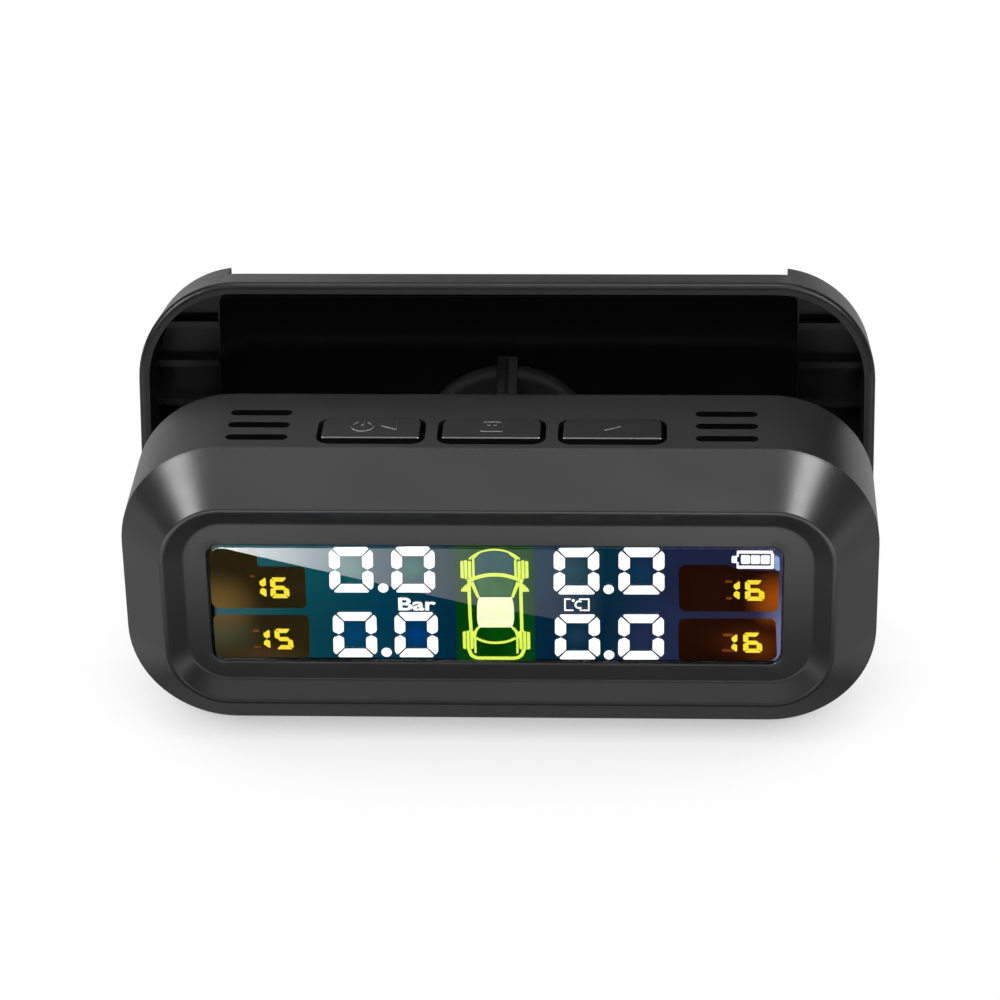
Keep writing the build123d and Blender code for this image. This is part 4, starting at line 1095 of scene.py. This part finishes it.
sky = wmath("ADD", wlobe(0, 64, 46, 12, 1.0), 0.035)
sky = wmath("ADD", sky, wlobe(180, 80, 9, 4, 10.0))        # narrow overhead strip that draws the edges
sky = wmath("ADD", sky, wlobe(180, 48, 40, 8, 0.22))       # soft fill from behind and above
sky = wmath("ADD", sky, wlobe(-65, 40, 15, 5, 16.0))       # strip boxes, left and right
sky = wmath("ADD", sky, wlobe(53, 50, 13, 5, 18.0))
sky = wmath("ADD", sky, wlobe(-150, 12, 34, 8, 0.5))
sky = wmath("ADD", sky, wlobe(118, 14, 26, 8, 0.45))
path = nt.nodes.new("ShaderNodeLightPath")
mixn = nt.nodes.new("ShaderNodeMix")
mixn.data_type = "FLOAT"
nt.links.new(path.outputs["Is Camera Ray"], mixn.inputs[0])
nt.links.new(sky, mixn.inputs[2])
mixn.inputs[3].default_value = 1.0
nt.links.new(mixn.outputs[0], wb.inputs["Strength"])
wb.inputs["Color"].default_value = (1, 1, 1, 1)


def area(name, loc, target, sx, sy, power):
    d = bpy.data.lights.new(name, "AREA")
    d.shape = "RECTANGLE"
    d.size, d.size_y, d.energy = sx, sy, power
    ob = bpy.data.objects.new(name, d)
    bpy.context.scene.collection.objects.link(ob)
    ob.location = loc
    ob.rotation_euler = (Vector(target) - Vector(loc)).to_track_quat("-Z", "Y").to_euler()
    return ob


sun = bpy.data.lights.new("overhead_soft", "SUN")
sun.energy = 0.55
sun.angle = math.radians(50.0)
sun_ob = bpy.data.objects.new("overhead_soft", sun)
bpy.context.scene.collection.objects.link(sun_ob)
sun_ob.rotation_euler = (math.radians(-16.0), 0.0, 0.0)

# a hard-edged softbox that only the lens picks up, seen as the pale wedge across the glass
n = Vector((0.0, -1.0, 0.0))
mirror_eye = Vector((eye.x, 2 * dp(0, -5.3, 0).y - eye.y, eye.z))


def on_table(x, z):
    """Where the camera's ray reflected at that point of the lens meets the table."""
    p = dp(x, -5.3, z)
    d = (p - mirror_eye).normalized()
    return p + d * ((0.0006 - p.z) / d.z)


wedge = [(-44.5, 10.15), (-36.4, 7.95), (-25.3, 5.13), (-4.57, -0.2), (7.07, -2.45), (16.0, -4.5)]
bm = bmesh.new()
uv = []
low = [on_table(x, z) for x, z in wedge]
high = [on_table(x, 11.0) for x, z in wedge]
va = [bm.verts.new(p) for p in low]
vb = [bm.verts.new(p) for p in high]
for i in range(len(va) - 1):
    bm.faces.new((va[i], va[i + 1], vb[i + 1], vb[i]))
card = to_object("softbox_card", bm, weighted=False)
cm = bpy.data.materials.new("softbox_glow")
cm.use_nodes = True
cn = cm.node_tree
cn.nodes.clear()
co = cn.nodes.new("ShaderNodeOutputMaterial")
ce = cn.nodes.new("ShaderNodeEmission")
ct = cn.nodes.new("ShaderNodeTexCoord")
cs = cn.nodes.new("ShaderNodeSeparateXYZ")
cr = cn.nodes.new("ShaderNodeValToRGB")
cf = cn.nodes.new("ShaderNodeMapRange")
cn.links.new(ct.outputs["Object"], cs.inputs[0])
cn.links.new(cs.outputs["X"], cf.inputs[0])
cf.inputs[1].default_value = min(p.x for p in low + high)
cf.inputs[2].default_value = max(p.x for p in low + high)
el0 = cr.color_ramp.elements
el0[0].position, el0[0].color = 0.0, (1, 1, 1, 1)
el0[1].position, el0[1].color = 1.0, (0, 0, 0, 1)
for pos, v in ((0.12, 0.55), (0.30, 0.29), (0.42, 0.15), (0.55, 0.09), (0.72, 0.05), (0.88, 0.03)):
    e = el0.new(pos)
    e.color = (v, v, v, 1)
cn.links.new(cf.outputs[0], cr.inputs[0])
cn.links.new(cr.outputs[0], ce.inputs["Color"])
ce.inputs["Strength"].default_value = 10.5
cn.links.new(ce.outputs[0], co.inputs[0])
card.data.materials.append(cm)
card.visible_camera = False
card.visible_diffuse = False
card.visible_transmission = False
card.visible_shadow = False
only_lens = bpy.data.collections.new("lens_only")
only_lens.objects.link(lens)
card.light_linking.receiver_collection = only_lens

sc = bpy.context.scene
sc.view_settings.view_transform = "Standard"
sc.view_settings.look = "None"
sc.view_settings.exposure = 0.0
sc.view_settings.gamma = 1.0

bpy.context.view_layer.update()
